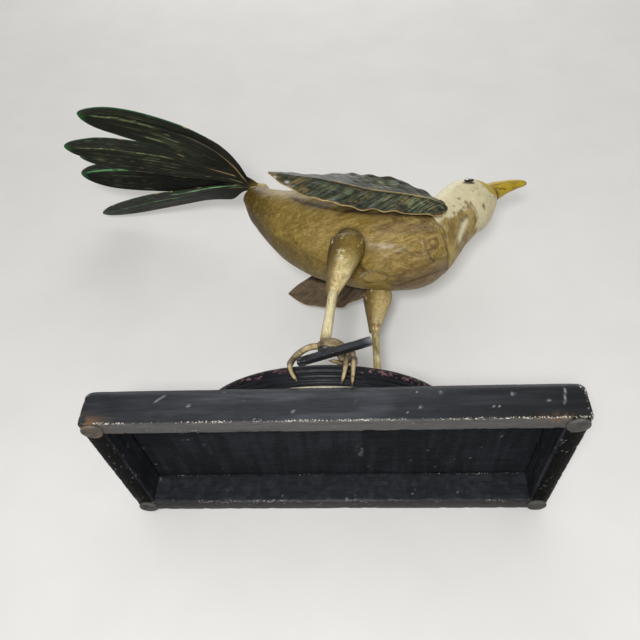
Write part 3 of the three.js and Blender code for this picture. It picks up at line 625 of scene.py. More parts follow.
def right_side(line):
    """The same marks on the bird's left, since only its right side is seen."""
    return [(x, 2 * BIRD_LINE - y, z) for x, y, z in line]


def trunk_shape():
    shares = np.linspace(0, 1, 330)
    course = cubic_course(TRUNK[:, 0], TRUNK[:, 1:], shares)
    x, z, half, lean = course.T[..., None]
    lean = np.radians(lean)
    cos, sin = circle(200)
    up = half * cos
    rings = np.stack([
        x - up * np.sin(lean),
        BIRD_LINE + FLANK * half * sin,
        PLATFORM_TOP + z + up * np.cos(lean),
    ], -1)
    height = np.broadcast_to(cos, rings.shape[:2])
    share = per_ring(shares, rings)
    depth = 0.75 * rough(rings, (46, 30, 30), 3) + 0.30 * rough(rings, (20, 9, 9), 5)
    depth += 0.10 * noise(rings, (7, 2.5, 2.5), 9)
    facets = np.abs(noise(rings, (30, 17, 17), 21))
    depth -= 0.9 * facets * ease(share, 0.02, 0.1) * fall(share, 0.62, 0.7)
    for line, deep, width in CUTS:
        depth -= deep * stroke(rings, line, width)
    for pit in pits:
        depth -= PIT_DEPTH * spot(rings, pit, 1.5)
    joint = (rings - NECK) @ NECK_AXIS
    depth -= 0.35 * bell(joint, JOINT_WIDTH)
    depth *= ease(share, 0.0, 0.03)
    return carved(rings, depth)[0], height, joint


def wing_shade(p):
    """Painted shade on the flanks, deep in the recess behind the wings' lower edges."""
    x, y, z, below = WING[np.argsort(WING[:, 0]), :4].T
    low = np.interp(p[..., 0], x, z - below) + PLATFORM_TOP
    off_line = np.abs(p[..., 1] - BIRD_LINE)
    recess = np.maximum(np.interp(p[..., 0], x, y) - off_line, 0.0)
    offset = low + 0.79 * recess - p[..., 2]
    drop = np.maximum(offset, 0.0)
    hidden = bell(np.minimum(offset, 0.0), 6.0)
    span = ease(p[..., 0], -62, -40) * fall(p[..., 0], 112, 126)
    return (0.7 * bell(drop, 2.6) + 0.3 * bell(drop, 9.0)) * hidden * span * ease(off_line, 12, 26)


def thigh_line(side):
    middle = HIP[side] * 0.6 + KNEE[side] * 0.4
    return [HIP[side] + (0, 0, 15.0), HIP[side], middle, KNEE[side]]


def thigh_gap(p, side):
    """How far points lie outside a thigh's own surface."""
    centre, _ = along_curve(thigh_line(side), 40, even=False)
    radius = cubic_course(np.linspace(0, 1, 4), THIGH_RADII[side], np.linspace(0, 1, 40))
    gap = np.full(p.shape[:-1], FAR)
    for k in range(40):
        gap = np.minimum(gap, distance(p, centre[k], (1.0, THIGH_DEPTH, 1.0)) - radius[k])
    return gap


def body_paint(p, height):
    x, y, z = p[..., 0], p[..., 1], p[..., 2]
    course = np.stack([x + 0.45 * z, y, z - 0.35 * x], -1)
    grain = rough(course, (46, 5, 5), 31)
    fine = rough(course, (17, 1.7, 1.7), 35)
    cloud = rough(p, 28, 33)
    patch = rough(p, (12, 7, 7), 37)
    dab = rough(np.stack([x - 0.8 * z, y, z + 0.8 * x], -1), (9, 2.2, 2.2), 39)
    rear = fall(x, -60, 35)
    front = ease(x, 40, 75) * fall(x, 112, 124)
    coat = Coat(p, OCHRE)
    coat.either_way(cloud, (-0.1, 0.7, 0.55, OCHRE_PALE), (0.2, 0.8, 0.10, OCHRE_DEEP))
    coat.over(rear * 0.65 * ease(0.45 - height, 0.0, 0.8), OLIVE)
    coat.over(front * ease(height, -0.6, 0.1) * 0.35, OCHRE_PALE)
    coat.either_way(patch, (-0.05, 0.5, front * 0.65, OCHRE_PALE), (0.05, 0.5, front * 0.6, MAUVE))
    coat.either_way(dab, (0.15, 0.5, front * 0.6, OCHRE_DEEP), (0.3, 0.6, front * 0.5, CREAM_WORN))
    coat.over(ease(height, 0.05, 0.75) * 0.45, MAUVE)
    grey_zone = distance(p, (74.0, -69.0, 249.0), (42, 30, 9))
    coat.over(fall(grey_zone, 0.6, 1.1) * 0.4, MAUVE)
    coat.over(fall(x, -104, -66) * 0.7, OCHRE_DEEP)
    coat.either_way(grain, (0.10, 0.65, 0.32, OCHRE_DEEP), (0.20, 0.65, 0.35, OCHRE_PALE))
    coat.either_way(fine, (0.10, 0.55, 0.42 + 0.30 * grain, OCHRE_DEEP),
                    (0.20, 0.65, 0.45, OCHRE_PALE))
    lens = distance(p, (44.5, -29.5, 216.8), (16, 9, 6))
    coat.over(fall(lens, 0.8, 1.05) * 0.45, OCHRE_PALE)
    belly = ease(x, 62, 74) * fall(x, 126, 132) * ease(-height, 0.86, 0.94)
    coat.over(belly * fall(line_distance(p, belly_ridge), 0, 26) * 0.7, MAUVE)
    coat.over(ease(-height, 0.90, 0.97) * rear * 0.4, UMBER)
    coat.less(fall(x, -100, 10), (0.10, 0.12, 0.42))
    coat.less(fall(x, -100, -60), (0.36, 0.36, 0.38))
    coat.less(front, (0.14, 0.17, 0.20))
    # Painted shade on the flanks under the wings
    coat.over(wing_shade(p) * fall(height, 0.22, 0.50) * (0.95 + 0.3 * grain), UMBER)
    for line, width, dark in BODY_LINES:
        coat.over(stroke(p, line, width) * dark, UMBER)
    coat.over(stroke(p + (0.0, 0.0, -1.4), lens_edge, 0.9) * 0.7, CREAM)
    coat.over(stroke(p, scratch, 1.5) * 0.5, CREAM_WORN)
    coat.over(stroke(p + (2.0, 0, -1.0), knot_line, 0.9) * 0.8, CREAM)
    for pit in pits:
        coat.over(spot(p, pit, 1.6) * 0.8, UMBER)
    for side in SIDES:
        gap = thigh_gap(p, side)
        # Painted shade: a dark ring on the body round each thigh, where the two meet
        coat.over(bell(gap, 4.5) * 0.45, OCHRE_DEEP)
        coat.over(bell(gap, 1.7) * (0.9 + 0.3 * patch), UMBER)
    return coat


def head_paint(p):
    x, y, z = p[..., 0], p[..., 1], p[..., 2]
    cloud = rough(p, 14, 51)
    fine = rough(p, (5, 5, 5), 53)
    dirt = rough(np.stack([x + z, y, (z - x) * 0.3], -1), (5, 2.5, 4), 55)
    coat = Coat(p, CREAM)
    coat.over(ease(cloud, 0.0, 0.8) * 0.30, CREAM_WORN)
    coat.either_way(dirt, (0.15, 0.7, 0.28, CREAM_DIRT), (0.25, 0.7, 0.35, CREAM_CLEAN))
    above = (z - 275.0 - (x - 128.5)) / math.sqrt(2)
    front_line = ((172 - 158.6) * (z - 305.5) + 22.5 * (x - 158.6)) / math.hypot(13.4, 22.5)
    throat = np.minimum(-above, -front_line) + 3.2 * fine + 2.0 * cloud
    brown = ease(throat, -2.0, 3.5) * (0.72 + 0.4 * ease(dirt, -0.5, 0.3))
    coat.over(brown, OCHRE)
    coat.over(brown * ease(-cloud, -0.2, 0.6) * 0.6, OCHRE_PALE)
    coat.over(brown * ease(cloud + 0.5 * fine, 0.05, 0.6) * 0.5, OCHRE_DEEP)
    for line in (throat_streak, right_side(throat_streak)):
        coat.over(stroke(p, line, 4.8) * (0.95 + 0.3 * fine), THROAT_LIGHT)
    for dab in head_dabs + right_side(head_dabs):
        coat.over(spot(p, dab, 2.1) * 0.85, UMBER)
    freckle = ease(rough(p, (4.2, 3.0, 3.0), 57), 0.50, 0.68) * bell(above, 11.0)
    coat.over(freckle * 0.8, FRECKLE)
    for line, dark in ((throat_crack, 0.55), (chin_crease, 0.55), (throat_seam, 0.7)):
        coat.over(stroke(p, line, 1.2) * dark, UMBER)
    below = (x - 189.0 - (z - 353.6)) / math.sqrt(2) - 0.5 * np.abs(y - BIRD_LINE)
    root_line = (x - 184.4) * 0.75 + (z - 334.4) * 0.66 + 0.8 * fine - 12.0 * ease(below, 2, 14)
    yellow = ease(root_line, -0.8, 0.8)
    coat.over(yellow, BEAK_YELLOW)
    coat.over(yellow * ease(cloud, 0.0, 0.6) * 0.5, BEAK_PALE)
    coat.over(bell(root_line + 0.6, 0.8) * 0.4, OCHRE_DEEP)
    for side in (-1, 1):
        eye = np.array([160.3, BIRD_LINE + side * 31.6, PLATFORM_TOP + 276.5])
        around = np.linalg.norm((p - eye) * (0.72, 1.0, 1.35), axis=-1)
        coat.over(fall(around, 4.6, 6.4) * 0.9, UMBER)
        coat.over(bell(around - 8.0, 1.2) * 0.3, CREAM_WORN)
    return coat


def cut_at_neck(rings, sign):
    """One side of the neck joint: rings are pressed flat onto its plane and the rest dropped."""
    centre = NECK + NECK_AXIS * (sign * GAP / 2)
    offset = ((rings - centre) @ NECK_AXIS) * sign
    flat = rings - np.minimum(offset, 0.0)[..., None] * (sign * NECK_AXIS)
    keep = (offset > 0).any(axis=1)
    first = max(0, np.argmax(keep) - 1)
    last = len(keep) - np.argmax(keep[::-1])
    return flat, first, min(len(keep), last + 1)


def add_trunk():
    rings, height, joint = trunk_shape()
    for name, node, sign, slot, material in (
        ("carved_body", "body", -1, "ochre_varnish", varnished_wood),
        ("carved_head", "head", 1, "cream_paint", painted_head),
    ):
        flat, first, last = cut_at_neck(rings, sign)
        kept = slice(first, last)
        coat = body_paint(flat[kept], height[kept]) if node == "body" else head_paint(flat[kept])
        coat.over(bell(joint[kept], JOINT_WIDTH) * 0.45, UMBER)
        piece(name, flat[kept], coat, material, node)


# Beak

# Place along the beak, rise, size and tilt of each section
BEAK = np.array([
    (-0.02, -0.6, 1.02, 45), (0, 0, 1, 45), (0.27, 7.6, 0.79, 35), (0.53, 12.6, 0.60, 23),
    (0.77, 15.6, 0.43, 11), (0.94, 16.4, 0.27, 2), (1.0, 16.0, 0.09, -5),
])
BEAK_LENGTH = 50.5
BEAK_HALF_HEIGHT = 14.5
BEAK_HALF_WIDTH = 11.5
beak_cracks = [
    [(196.0, -38.5, 349.0), (199.0, -37.5, 352.8), (203.0, -35.5, 351.6), (206.0, -34.6, 354.6),
     (211.6, -32.0, 355.1)],
    [(198.0, -37.5, 350.5), (200.4, -34.6, 347.3), (204.1, -29.5, 346.5)],
]
nostril = (226.0, -26.0, 357.5)


def add_beak():
    lean = math.radians(45)
    start = np.array([189.0 + GAP * math.cos(lean), 0, PLATFORM_TOP + 293.0 + GAP * math.sin(lean)])
    course = cubic_course(np.linspace(0, 1, len(BEAK)), BEAK, np.linspace(0, 1, 90))
    place, rise, size, tilt = course.T[..., None]
    tilt = np.radians(tilt)
    cos, sin = circle(96)
    up = size * BEAK_HALF_HEIGHT * cos
    rings = np.stack([
        start[0] + place * BEAK_LENGTH - up * np.sin(tilt),
        BIRD_LINE + size * BEAK_HALF_WIDTH * sin * (1 - 0.10 * cos),
        start[2] + rise + up * np.cos(tilt),
    ], -1)
    height = cos * np.ones_like(place)
    place = place * np.ones_like(cos)
    mouth = bell(height + 0.18, 0.055) * ease(np.abs(sin), 0.5, 0.8)
    depth = 0.25 * rough(rings, (12, 6, 6), 61) - 0.55 * mouth
    for line in beak_cracks:
        depth -= 0.8 * stroke(rings, line, 0.8)
    depth -= spot(rings, nostril, 2.0)
    rings, _ = carved(rings, depth)
    coat = Coat(rings, BEAK_YELLOW)
    cloud = rough(rings, (14, 5, 5), 63)
    coat.either_way(cloud, (0.0, 0.7, 0.5, BEAK_PALE), (0.1, 0.7, 0.4, OCHRE_DEEP))
    # Painted shade along the top of the beak
    coat.over(ease(height, 0.76, 0.88) * ease(place, 0.06, 0.2) * 0.75, BEAK_TOP_SHADE)
    coat.over(mouth * 0.55, UMBER)
    for line in beak_cracks:
        coat.over(stroke(rings, line, 1.0) * 0.9, UMBER)
    coat.over(fall(place, 0.02, 0.10) * ease(-height, -0.1, 0.5) * 0.8, UMBER)
    coat.over(spot(rings, nostril, 2.2) * 0.9, UMBER)
    coat.over(ease(place, 0.93, 0.985) * 0.65, BEAK_TIP)
    piece("painted_beak", rings, coat, yellow_beak, "beak")


# Eyes

CROWN = np.array([162.0, BIRD_LINE, PLATFORM_TOP + 272.0])
CROWN_RADIUS = 34.5
EYE_RISE = math.radians(17)
EYE_FORWARD = math.radians(-1)
EYE_RADIUS = 5.6
EYE_BULGE = 1.35


def eye_material():
    material, tree, position = new_material("eye_glass")
    value = noise_node(tree, position, 1.5, 2.0)
    shade = map_range(tree, value, 0.3, 0.7, 0.85, 1.15)
    principled(tree, {
        "Specular IOR Level": 0.12, "Coat Weight": 0.10, "Coat Roughness": 0.05,
        "Base Color": mix_colour(tree, 1.0, own_paint(tree), shade, "MULTIPLY"),
        "Roughness": map_range(tree, value, 0.3, 0.7, 0.12, 0.22),
    })
    return material


def add_eyes():
    glass = eye_material()
    cos, sin = circle(48)
    turn = np.radians(-20 + 110 * np.arange(15) / 14)[:, None]
    radius = EYE_RADIUS * np.cos(turn)
    almond = 1 - 0.30 * sin ** 2
    point = 1 + 0.10 * np.maximum(cos, 0) ** 6
    across = radius * cos * point
    along = radius * sin * almond
    bulge = (EYE_BULGE * np.sin(turn) + 0.05) * np.ones_like(cos)
    flat_rise = math.cos(EYE_RISE)
    reach = CROWN_RADIUS * math.hypot(math.sin(EYE_RISE), FLANK * flat_rise)
    for side, node in ((-1, "right_eye"), (1, "left_eye")):
        way = np.array([flat_rise * math.sin(EYE_FORWARD), side * flat_rise * math.cos(EYE_FORWARD),
                        math.sin(EYE_RISE)])
        fore = unit(np.array([1.0, 0, 0]) - way[0] * way)
        up = np.cross(fore, way)
        up = up if up[2] > 0 else -up
        rings = (CROWN + way * reach + bulge[..., None] * way + across[..., None] * fore
                 + along[..., None] * up)
        coat = Coat(rings, EYE_BLACK)
        coat.over(ease(radius * np.ones_like(cos), 4.6, 5.2), EYE_RIM)
        glint = bell(across + 2.3, 1.5) * bell(along + 0.3, 1.2)
        coat.over(ease(glint, 0.35, 0.6), EYE_GLINT)
        piece(f"{node}_bead", rings, coat, glass, node)


# Leaves: wings and tail feathers

def sheet_normal(middle):
    return unit(np.cross(np.gradient(middle, axis=0), np.gradient(middle, axis=1)))


def leaf_rings(middle):
    """A closed sheet as rings round it: over its upper side, round the rim, back underneath."""
    reach = sheet_normal(middle) * SHEET / 2
    outward = unit(np.gradient(middle, axis=1)) * SHEET * 0.35
    far = middle[:, -1:] + outward[:, -1:]
    near = middle[:, :1] - outward[:, :1]
    return np.concatenate([middle + reach, far, (middle - reach)[:, ::-1], near], axis=1)


def round_leaf(values):
    """Values of a sheet's middle, on the rings that leaf_rings makes."""
    return np.concatenate([values, values[:, -1:], values[:, ::-1], values[:, :1]], axis=1)


WING = np.array([
    (130, 35.8, 229, 3, 3, 25), (127, 37.8, 232, 13, 10, 25), (121, 40.5, 234, 22, 16, 26),
    (109, 46, 234.5, 27, 23, 26), (92, 54, 231, 29, 29, 15), (76, 60, 228.5, 30, 33, 10),
    (43, 70, 224.5, 33, 33, 10), (25, 77.5, 223, 33, 32, 12), (6, 85, 222, 35, 30, 23),
    (-16, 91, 222, 31, 27, 29), (-38, 95.5, 222.5, 24.5, 20, 31), (-55, 98.5, 223.5, 13, 11, 31),
    (-67, 100, 224.5, 0.8, 0.8, 31),
])
# Where the wing's inner face meets the flank, as the far wing shows it under the belly
flank_gap = [(-36.0, -113.5, 299.0), (-24.5, -113.4, 294.9), (-8.5, -113.3, 289.0),
             (7.3, -112.0, 283.2), (15.1, -108.8, 277.5), (22.9, -105.4, 271.7),
             (30.5, -102.1, 267.2), (38.0, -99.0, 263.0)]


def wing_middle(rows, columns):
    last = len(WING) - 1
    place = np.linspace(0, last, rows)
    course = np.stack([np.interp(place, np.arange(last + 1), column) for column in WING.T], -1)
    smooth = course.copy()
    for r in range(6, rows - 6):
        smooth[r] = course[r - 6:r + 7].mean(axis=0)
    across = np.linspace(-1, 1, columns)[None, :] * np.ones((rows, 1))
    share = place[:, None] / last * np.ones_like(across)
    upper = across > 0
    x, out, z, below, above, fold = smooth.T[..., None] * np.ones_like(across)
    swell = np.sin(math.pi * share)
    wave_low = 0.9 * np.sin(ROUND * x / 27 + 0.6) * swell
    wave_high = -2.2 * bell(x - 54, 11) - 2.0 * bell(x + 2, 8) + 0.8 * bell(x - 20, 8)
    reach = np.abs(across) * np.where(upper, above + wave_high, below + wave_low)
    ripple = 1.5 * np.sin(30 * share) * swell * np.abs(across) ** 3
    turn = np.radians(np.where(upper, fold, 2.0))
    y = BIRD_LINE - out + reach * np.sin(turn) - ripple
    height = PLATFORM_TOP + z + np.where(upper, 1, -1) * reach * np.cos(turn)
    return np.stack([x, y, height], -1), share, across, x, reach


def vein_wave(x, reach, upper):
    """Side veins that run from the midrib towards the leaf's tip."""
    return (x + 0.95 * reach) / 13.0 + np.where(upper, 0.35, 0.0)


def add_wings():
    rows, columns = 300, 90
    middle, share, across, x, reach = wing_middle(rows, columns)
    normal = sheet_normal(middle)
    outer = np.where(normal[..., 1:2] < 0, 1.0, -1.0)
    upper = across > 0
    away = np.abs(across)
    swell = np.sin(math.pi * share)
    body = ease(away, 0.04, 0.22) * fall(away, 0.86, 1.0) * swell ** 0.4
    vein = np.abs(np.sin(math.pi * vein_wave(x, reach, upper))) - 0.6
    relief = np.where(upper, 0.35, 0.75) * vein * body
    relief += 0.55 * bell(reach, 1.5) * fall(share, 0.72, 0.86)
    relief += 0.9 * rough(middle, (15, 9, 8), 71) * ease(away, 0.1, 0.4)
    root = fall(share, 0.10, 0.30)
    relief += 0.9 * root * rough(middle, 7, 73) * ease(away, 0.1, 0.3)
    relief += 0.9 * ease(away, 0.8, 1.0) * np.sin(ROUND * x / 21 + 1.0) * swell
    rings = leaf_rings(middle + normal * outer * relief[..., None])
    side = np.repeat([1, 0, -1, 0], [columns, 1, columns, 1]) * outer[rows // 2, columns // 2]
    inner = np.broadcast_to(side < 0, rings.shape[:2])
    places = [round_leaf(values) for values in (share, across, x, reach)]
    coat = wing_paint(rings, inner, *places)
    piece("right_wing_leaf", rings, coat, leaf_metal, "right_wing")
    mirrored = rings * (1, -1, 1) + (0, 2 * BIRD_LINE, 0)
    piece("left_wing_leaf", mirrored, coat, leaf_metal, "left_wing", mirrored=True)


def wing_paint(p, inner, share, across, x, reach):
    upper = across > 0
    phase = vein_wave(x, reach, upper)
    away = np.abs(across)
    skew = np.stack([phase * 13.0, reach * 0.25, np.where(upper, 40.0, 0.0)], -1)
    brush = rough(skew, (3.6, 6.0, 9.0), 81)
    fine = rough(skew, (1.3, 3.0, 9.0), 83)
    cloud = rough(p, 17, 85)
    vein = bell(np.abs(np.sin(math.pi * phase)), 0.10) * ease(away, 0.03, 0.15)
    root = fall(share, 0.12, 0.34)
    coat = Coat(p, LEAF_BLACK)
    coat.over(ease(brush + 0.5 * cloud, 0.0, 0.8) * 0.75, LEAF_GREEN)
    fade = 0.30 + 0.70 * fall(share, 0.15, 0.70)
    coat.over(ease(fine + 0.6 * cloud, 0.32, 0.72) * fade * 0.95, LEAF_LIGHT)
    coat.over(ease(-rough(p, (13, 8, 8), 72), 0.05, 0.55) * 0.75, LEAF_HOLLOW)
    warm = ease(rough(p, (14, 8, 8), 87) + 0.6 * fine, 0.30, 0.8)
    coat.over(warm * ease(-across, -0.6, 0.5) * 0.70, BRONZE)
    coat.over(vein * np.clip(0.15 + 0.9 * cloud, 0, 0.8), BRONZE)
    midrib = bell(reach, 0.8) * fall(share, 0.66, 0.74)
    coat.over(midrib * np.clip(0.55 + 0.9 * cloud, 0.1, 1), BRASS)
    coat.over(bell(reach - 2.4, 1.2) * fall(share, 0.7, 0.8) * 0.7, LEAF_GROOVE)
    coat.over(root * ease(fine + cloud, 0.15, 0.6) * 0.65, LEAF_LIGHT)
    coat.over(root * ease(rough(p, 5, 89), 0.30, 0.6) * 0.55, BRONZE)
    broken = 0.55 + 0.45 * ease(rough(p, 8, 90), -0.4, 0.3)
    coat.over(ease(away, 0.945, 0.985) * broken * np.where(upper, 0.35, 0.8), BRONZE)
    coat.over(ease(away, 0.982, 1.0) * broken * np.where(upper, 0.25, 0.95), BRASS)
    tip = ease(share, 0.88, 0.97)
    coat.over(tip * ease(-across + 0.4 * cloud, -0.3, 0.5) * 0.85, BRONZE)
    coat.over(spot(p, (-46.1, -125.2, 272.1), 2.2) * 0.95, BARE_GESSO)
    coat.over(spot(p, (-59.1, -127.4, 277.8), 1.6) * 0.9, BARE_GESSO)
    coat.over(spot(p, (55.2, -91.8, 306.0), 3.5) * (0.5 + fine), LEAF_LIGHT)
    brown = Coat(p, LEAF_BROWN)
    brown.over(ease(rough(p, (12, 7, 7), 91), -0.1, 0.6) * 0.5, MAUVE)
    brown.over(ease(fine, 0.1, 0.6) * 0.55, UMBER)
    brown.over(vein * 0.6, UMBER)
    brown.over(ease(away, 0.96, 1.0) * 0.4, BRONZE)
    brown.over(stroke(p, flank_gap, 3.0) * 0.9, FLANK_SHADE)
    coat.colours = np.where(inner[..., None], brown.colours, coat.colours)
    return coat


# Streaks along a feather: place across it, start, end, strength and colour
STREAKS = {
    "tail_feather_1": [
        (-0.30, 0.45, 0.98, 0.40, LEAF_LIGHT), (0.10, 0.55, 0.97, 0.5, LEAF_LIGHT),
        (0.42, 0.50, 0.85, 0.45, LEAF_GREEN), (-0.55, 0.35, 0.85, 0.35, LEAF_GREEN),
    ],
    "tail_feather_2": [
        (0.02, 0.40, 0.98, 0.9, LEAF_LIGHT), (-0.22, 0.55, 0.95, 0.5, LEAF_GREEN),
        (0.40, 0.35, 0.90, 0.45, LEAF_GREEN),
    ],
    "tail_feather_3": [
        (0.05, 0.45, 0.97, 0.85, LEAF_LIGHT), (0.45, 0.40, 0.92, 0.5, LEAF_GREEN),
        (-0.40, 0.50, 0.95, 0.4, LEAF_GREEN),
    ],
    "tail_feather_4": [
        (-0.35, 0.32, 0.99, 1.0, (0.16, 0.46, 0.18)), (0.15, 0.55, 0.90, 0.35, LEAF_GREEN),
    ],
    "tail_feather_5": [
        (-0.02, 0.42, 0.97, 0.85, (0.12, 0.32, 0.11)),
        (-0.60, 0.06, 0.50, 1.0, (0.20, 0.46, 0.20)),
        (-0.70, 0.06, 0.40, 1.0, (0.16, 0.38, 0.16)),
        (0.35, 0.30, 0.92, 0.35, (0.09, 0.10, 0.08)),
    ],
}
# Each feather's name; tang's level and side step; half width; droop and growth on the near and far
# sides; edge's green; where its rib ends; depth of its colours; midrib, as reach and side step
FEATHERS = [
    ("tail_feather_1", -2, -2, 25, (30, 22), (0.50, 0.38), 0.75, 0.50, 1.0,
     [(18, 9), (35, 36), (61, 61), (110, 82), (171, 95), (229, 95)]),
    ("tail_feather_2", -1, -1, 22, (14, 11), (0.40, 0.50), 0.55, 0.30, 0.9,
     [(19, 13), (76, 27), (124, 37), (171, 40), (212, 41), (252, 38), (278, 36)]),
    ("tail_feather_3", 0, 0, 20, (8, 1), (0.55, 0.55), 0.30, 0.25, 0.9,
     [(29, 8), (80, 17), (147, 24), (195, 23), (267, 16)]),
    ("tail_feather_4", 2, 1, 23.5, (5, 24), (0.55, 0.55), 0.40, 0.22, 0.4,
     [(60, -2), (130, -4), (194, -13), (249, -23), (296, -32)]),
    ("tail_feather_5", 1, 2, 22, (22, -23), (0.6, 0.20), 0.35, 0.20, 0.7,
     [(32, -1), (68, -11), (126, -34), (190, -59), (280, -97)]),
]
TAIL = np.array([-94.0, BIRD_LINE, PLATFORM_TOP + 317.9])
TANG_HALF = 4.5
TANG_STEP = 1.75
TAIL_RISE = 14.5
BLADE_SCALE = 22.0


def tail_way(level):
    rise = math.radians(TAIL_RISE + 1.5 * level)
    return np.array([-math.cos(rise), 0, math.sin(rise)])


def feather_width(t, half, grown):
    width = TANG_HALF + (half - TANG_HALF) * ease(t, 0.06, grown)
    share = np.clip((t - 0.6) / 0.4, 0, 1)
    return np.maximum(0.8, width * (1 - share ** 2.6) ** 0.6)[:, None]


def feather_middle(level, side, half, droops, grown, midrib, rows, columns):
    out = tail_way(level)
    root = TAIL + (0, side, level * TANG_STEP)
    t = np.linspace(0, 1, rows)
    t = np.where(t > 0.9, 0.9 + 0.1 * (1 - (1 - (t - 0.9) / 0.1) ** 1.6), t)
    line = [root + out * a + (0, -c, 0) for a, c in [(4.0, 0.0), *midrib]]
    centre, heading = along_curve(line, 1000)
    index = t * 999
    low = np.minimum(index.astype(int), 998)
    part = (index - low)[:, None]
    spine = centre[low] * (1 - part) + centre[low + 1] * part
    ahead = heading[low] * (1 - part) + heading[low + 1] * part
    far_side = unit(np.cross(ahead, np.array([0, 0, 1.0])))
    across = np.linspace(-1, 1, columns)[None, :] * np.ones((rows, 1))
    t = t[:, None] * np.ones_like(across)
    near = across < 0
    width = np.where(near, *(feather_width(t[:, 0], half, at) for at in grown))
    droop = np.radians(ease(t, 0.08, 0.4) * np.where(near, *droops))
    points = spine[:, None, :] + far_side[:, None, :] * (across * width * np.cos(droop))[..., None]
    points[..., 2] -= np.abs(across) * width * np.sin(droop)
    return points, t, across, width


def feather_paint(p, t, across, width, seed, green_edge, rib_end, streaks, length, depth):
    flat = np.stack([t * length, across * BLADE_SCALE, np.zeros_like(t)], -1)
    brush = rough(flat, (70, 2.2, 5), seed)
    fine = rough(flat, (40, 0.8, 5), seed + 3)
    cloud = rough(flat, (45, 14, 5), seed + 5)
    hairs = rough(flat, (26, 0.7, 5), seed + 7)
    coat = Coat(p, FEATHER_BLACK)
    coat.over(ease(brush + 0.4 * cloud, 0.0, 0.8) * 0.55, FEATHER_GREY)
    coat.over(ease(fine + 0.5 * cloud, 0.48, 0.80) * ease(t, 0.30, 0.65) * 0.7, LEAF_GREEN)
    coat.over(ease(hairs + 0.35 * cloud, 0.66, 0.82) * ease(t, 0.25, 0.6) * 0.7, LEAF_LIGHT)
    coat.colours = coat.colours * depth
    wobble = 0.06 * noise(flat, (60, 60, 60), seed + 11)
    broken = 0.3 + 0.7 * ease(rough(flat, (9, 3, 5), seed + 13), -0.25, 0.25)
    for place, start, end, strength, tint in streaks:
        thick = 1.6 if strength >= 1.0 else 1.0 if strength > 0.8 else 0.7
        line = bell(across - place - wobble, thick / BLADE_SCALE)
        fade = ease(t, start, start + 0.10) * fall(t, end - 0.06, end)
        coat.over(line * fade * broken * min(1.0, 1.25 * strength), np.array(tint) * 1.15)
    rib = bell(across * width, 0.6) * fall(t, rib_end - 0.12, rib_end) * ease(t, 0.05, 0.12)
    coat.over(rib * (0.35 + 0.5 * ease(cloud, -0.4, 0.4)), BRASS)
    away = np.abs(across)
    green = np.where(across < 0, green_edge, 0.3 * green_edge)
    coat.over(ease(away, 0.93, 1.0) * green * ease(t, 0.25, 0.55), LEAF_BRIGHT)
    coat.over(ease(t, 0.95, 0.995) * 0.7, LEAF_BRIGHT)
    worn = ease(away, 0.965, 1.0) * ease(noise(flat, (9, 9, 9), seed + 17), 0.35, 0.7)
    coat.over(worn * 0.7, BRASS)
    coat.over(fall(t, 0.02, 0.08) * 0.6, OCHRE)
    return coat


def add_tail():
    rows, columns = 260, 84
    for number, feather in enumerate(FEATHERS):
        name, level, side, half, droops, grown, green, rib_end, depth, midrib = feather
        middle, t, across, width = feather_middle(level, side, half, droops, grown, midrib,
                                                  rows, columns)
        normal = sheet_normal(middle)
        normal = np.where(normal[..., 2:] < 0, -normal, normal)
        length = np.linalg.norm(np.diff(middle[:, columns // 2], axis=0), axis=1).sum()
        flat = np.stack([t * length, across * width, np.full_like(t, 9.0 * number)], -1)
        relief = 0.22 * rough(flat, (55, 5, 30), 101 + number)
        relief += 0.5 * bell(across * width, 1.3) * fall(t, 0.75, 0.95)
        relief += 0.10 * noise(flat, (30, 1.6, 30), 111 + number)
        relief *= ease(t, 0.14, 0.32)
        rings = leaf_rings(middle + normal * relief[..., None])
        places = [round_leaf(values) for values in (t, across, width)]
        coat = feather_paint(rings, *places, 121 + 20 * number, green, rib_end, STREAKS[name],
                             length, depth)
        piece(f"{name}_leaf", rings, coat, feather_metal, name)


def add_tail_putty():
    """Gesso built up over the feathers' tangs."""
    centre = TAIL + (-5.5, 0, 0.6)
    out = tail_way(0)
    up = np.array([out[2], 0, -out[0]])
    lat = np.linspace(0.04, math.pi - 0.04, 40)[:, None]
    cos, sin = circle(60)
    ball = np.stack([np.cos(lat) * np.ones_like(cos), np.sin(lat) * cos, np.sin(lat) * sin], -1)
    lump = ball * (13.0, 9.5, 8.5)
    lump = lump * (1 + 0.16 * rough(ball * 10, 6, 141))[..., None]
    rings = centre + lump @ np.array([out, (0, 1.0, 0), up])
    coat = Coat(rings, PUTTY)
    coat.either_way(rough(rings, 6, 143), (0.1, 0.6, 0.4, OCHRE_DEEP), (0.1, 0.7, 0.6, CREAM_WORN))
    piece("tail_putty", rings, coat, varnished_wood, None)


# Legs and feet

def platform_edge(x):
    share = (x - PLATFORM_X) / PLATFORM_HALF[0]
    return -PLATFORM_HALF[1] * math.sqrt(max(0.0, 1 - share * share))


HIP = {
    "right": np.array([16, BIRD_LINE - 42, PLATFORM_TOP + 169]),
    "left": np.array([49, BIRD_LINE + 42, PLATFORM_TOP + 168]),
}
KNEE = {
    "right": np.array([-0.3, BIRD_LINE - 42, PLATFORM_TOP + 97.5]),
    "left": np.array([43, BIRD_LINE + 42, PLATFORM_TOP + 113]),
}
THIGH_RADII = {"right": [7.5, 19, 16, 6.5], "left": [7, 17, 13.5, 5.6]}
SHANK_RADIUS = {"right": 5.0, "left": 4.1}
GRIP = np.array([0, platform_edge(0) + 12.6, PLATFORM_TOP + 29])
ANKLE = {"right": GRIP + (-5, 1, 7), "left": LEFT_FOOT + (0, 0, 14)}
# The way from which the legs' and toes' painted edge shade is reckoned: surfaces side-on to it, front
# or back, are painted darker
EDGE_SHADE_WAY = np.array([0.0, -0.80, -0.60])
SIDEWAYS = np.array([0, 1.0, 0])


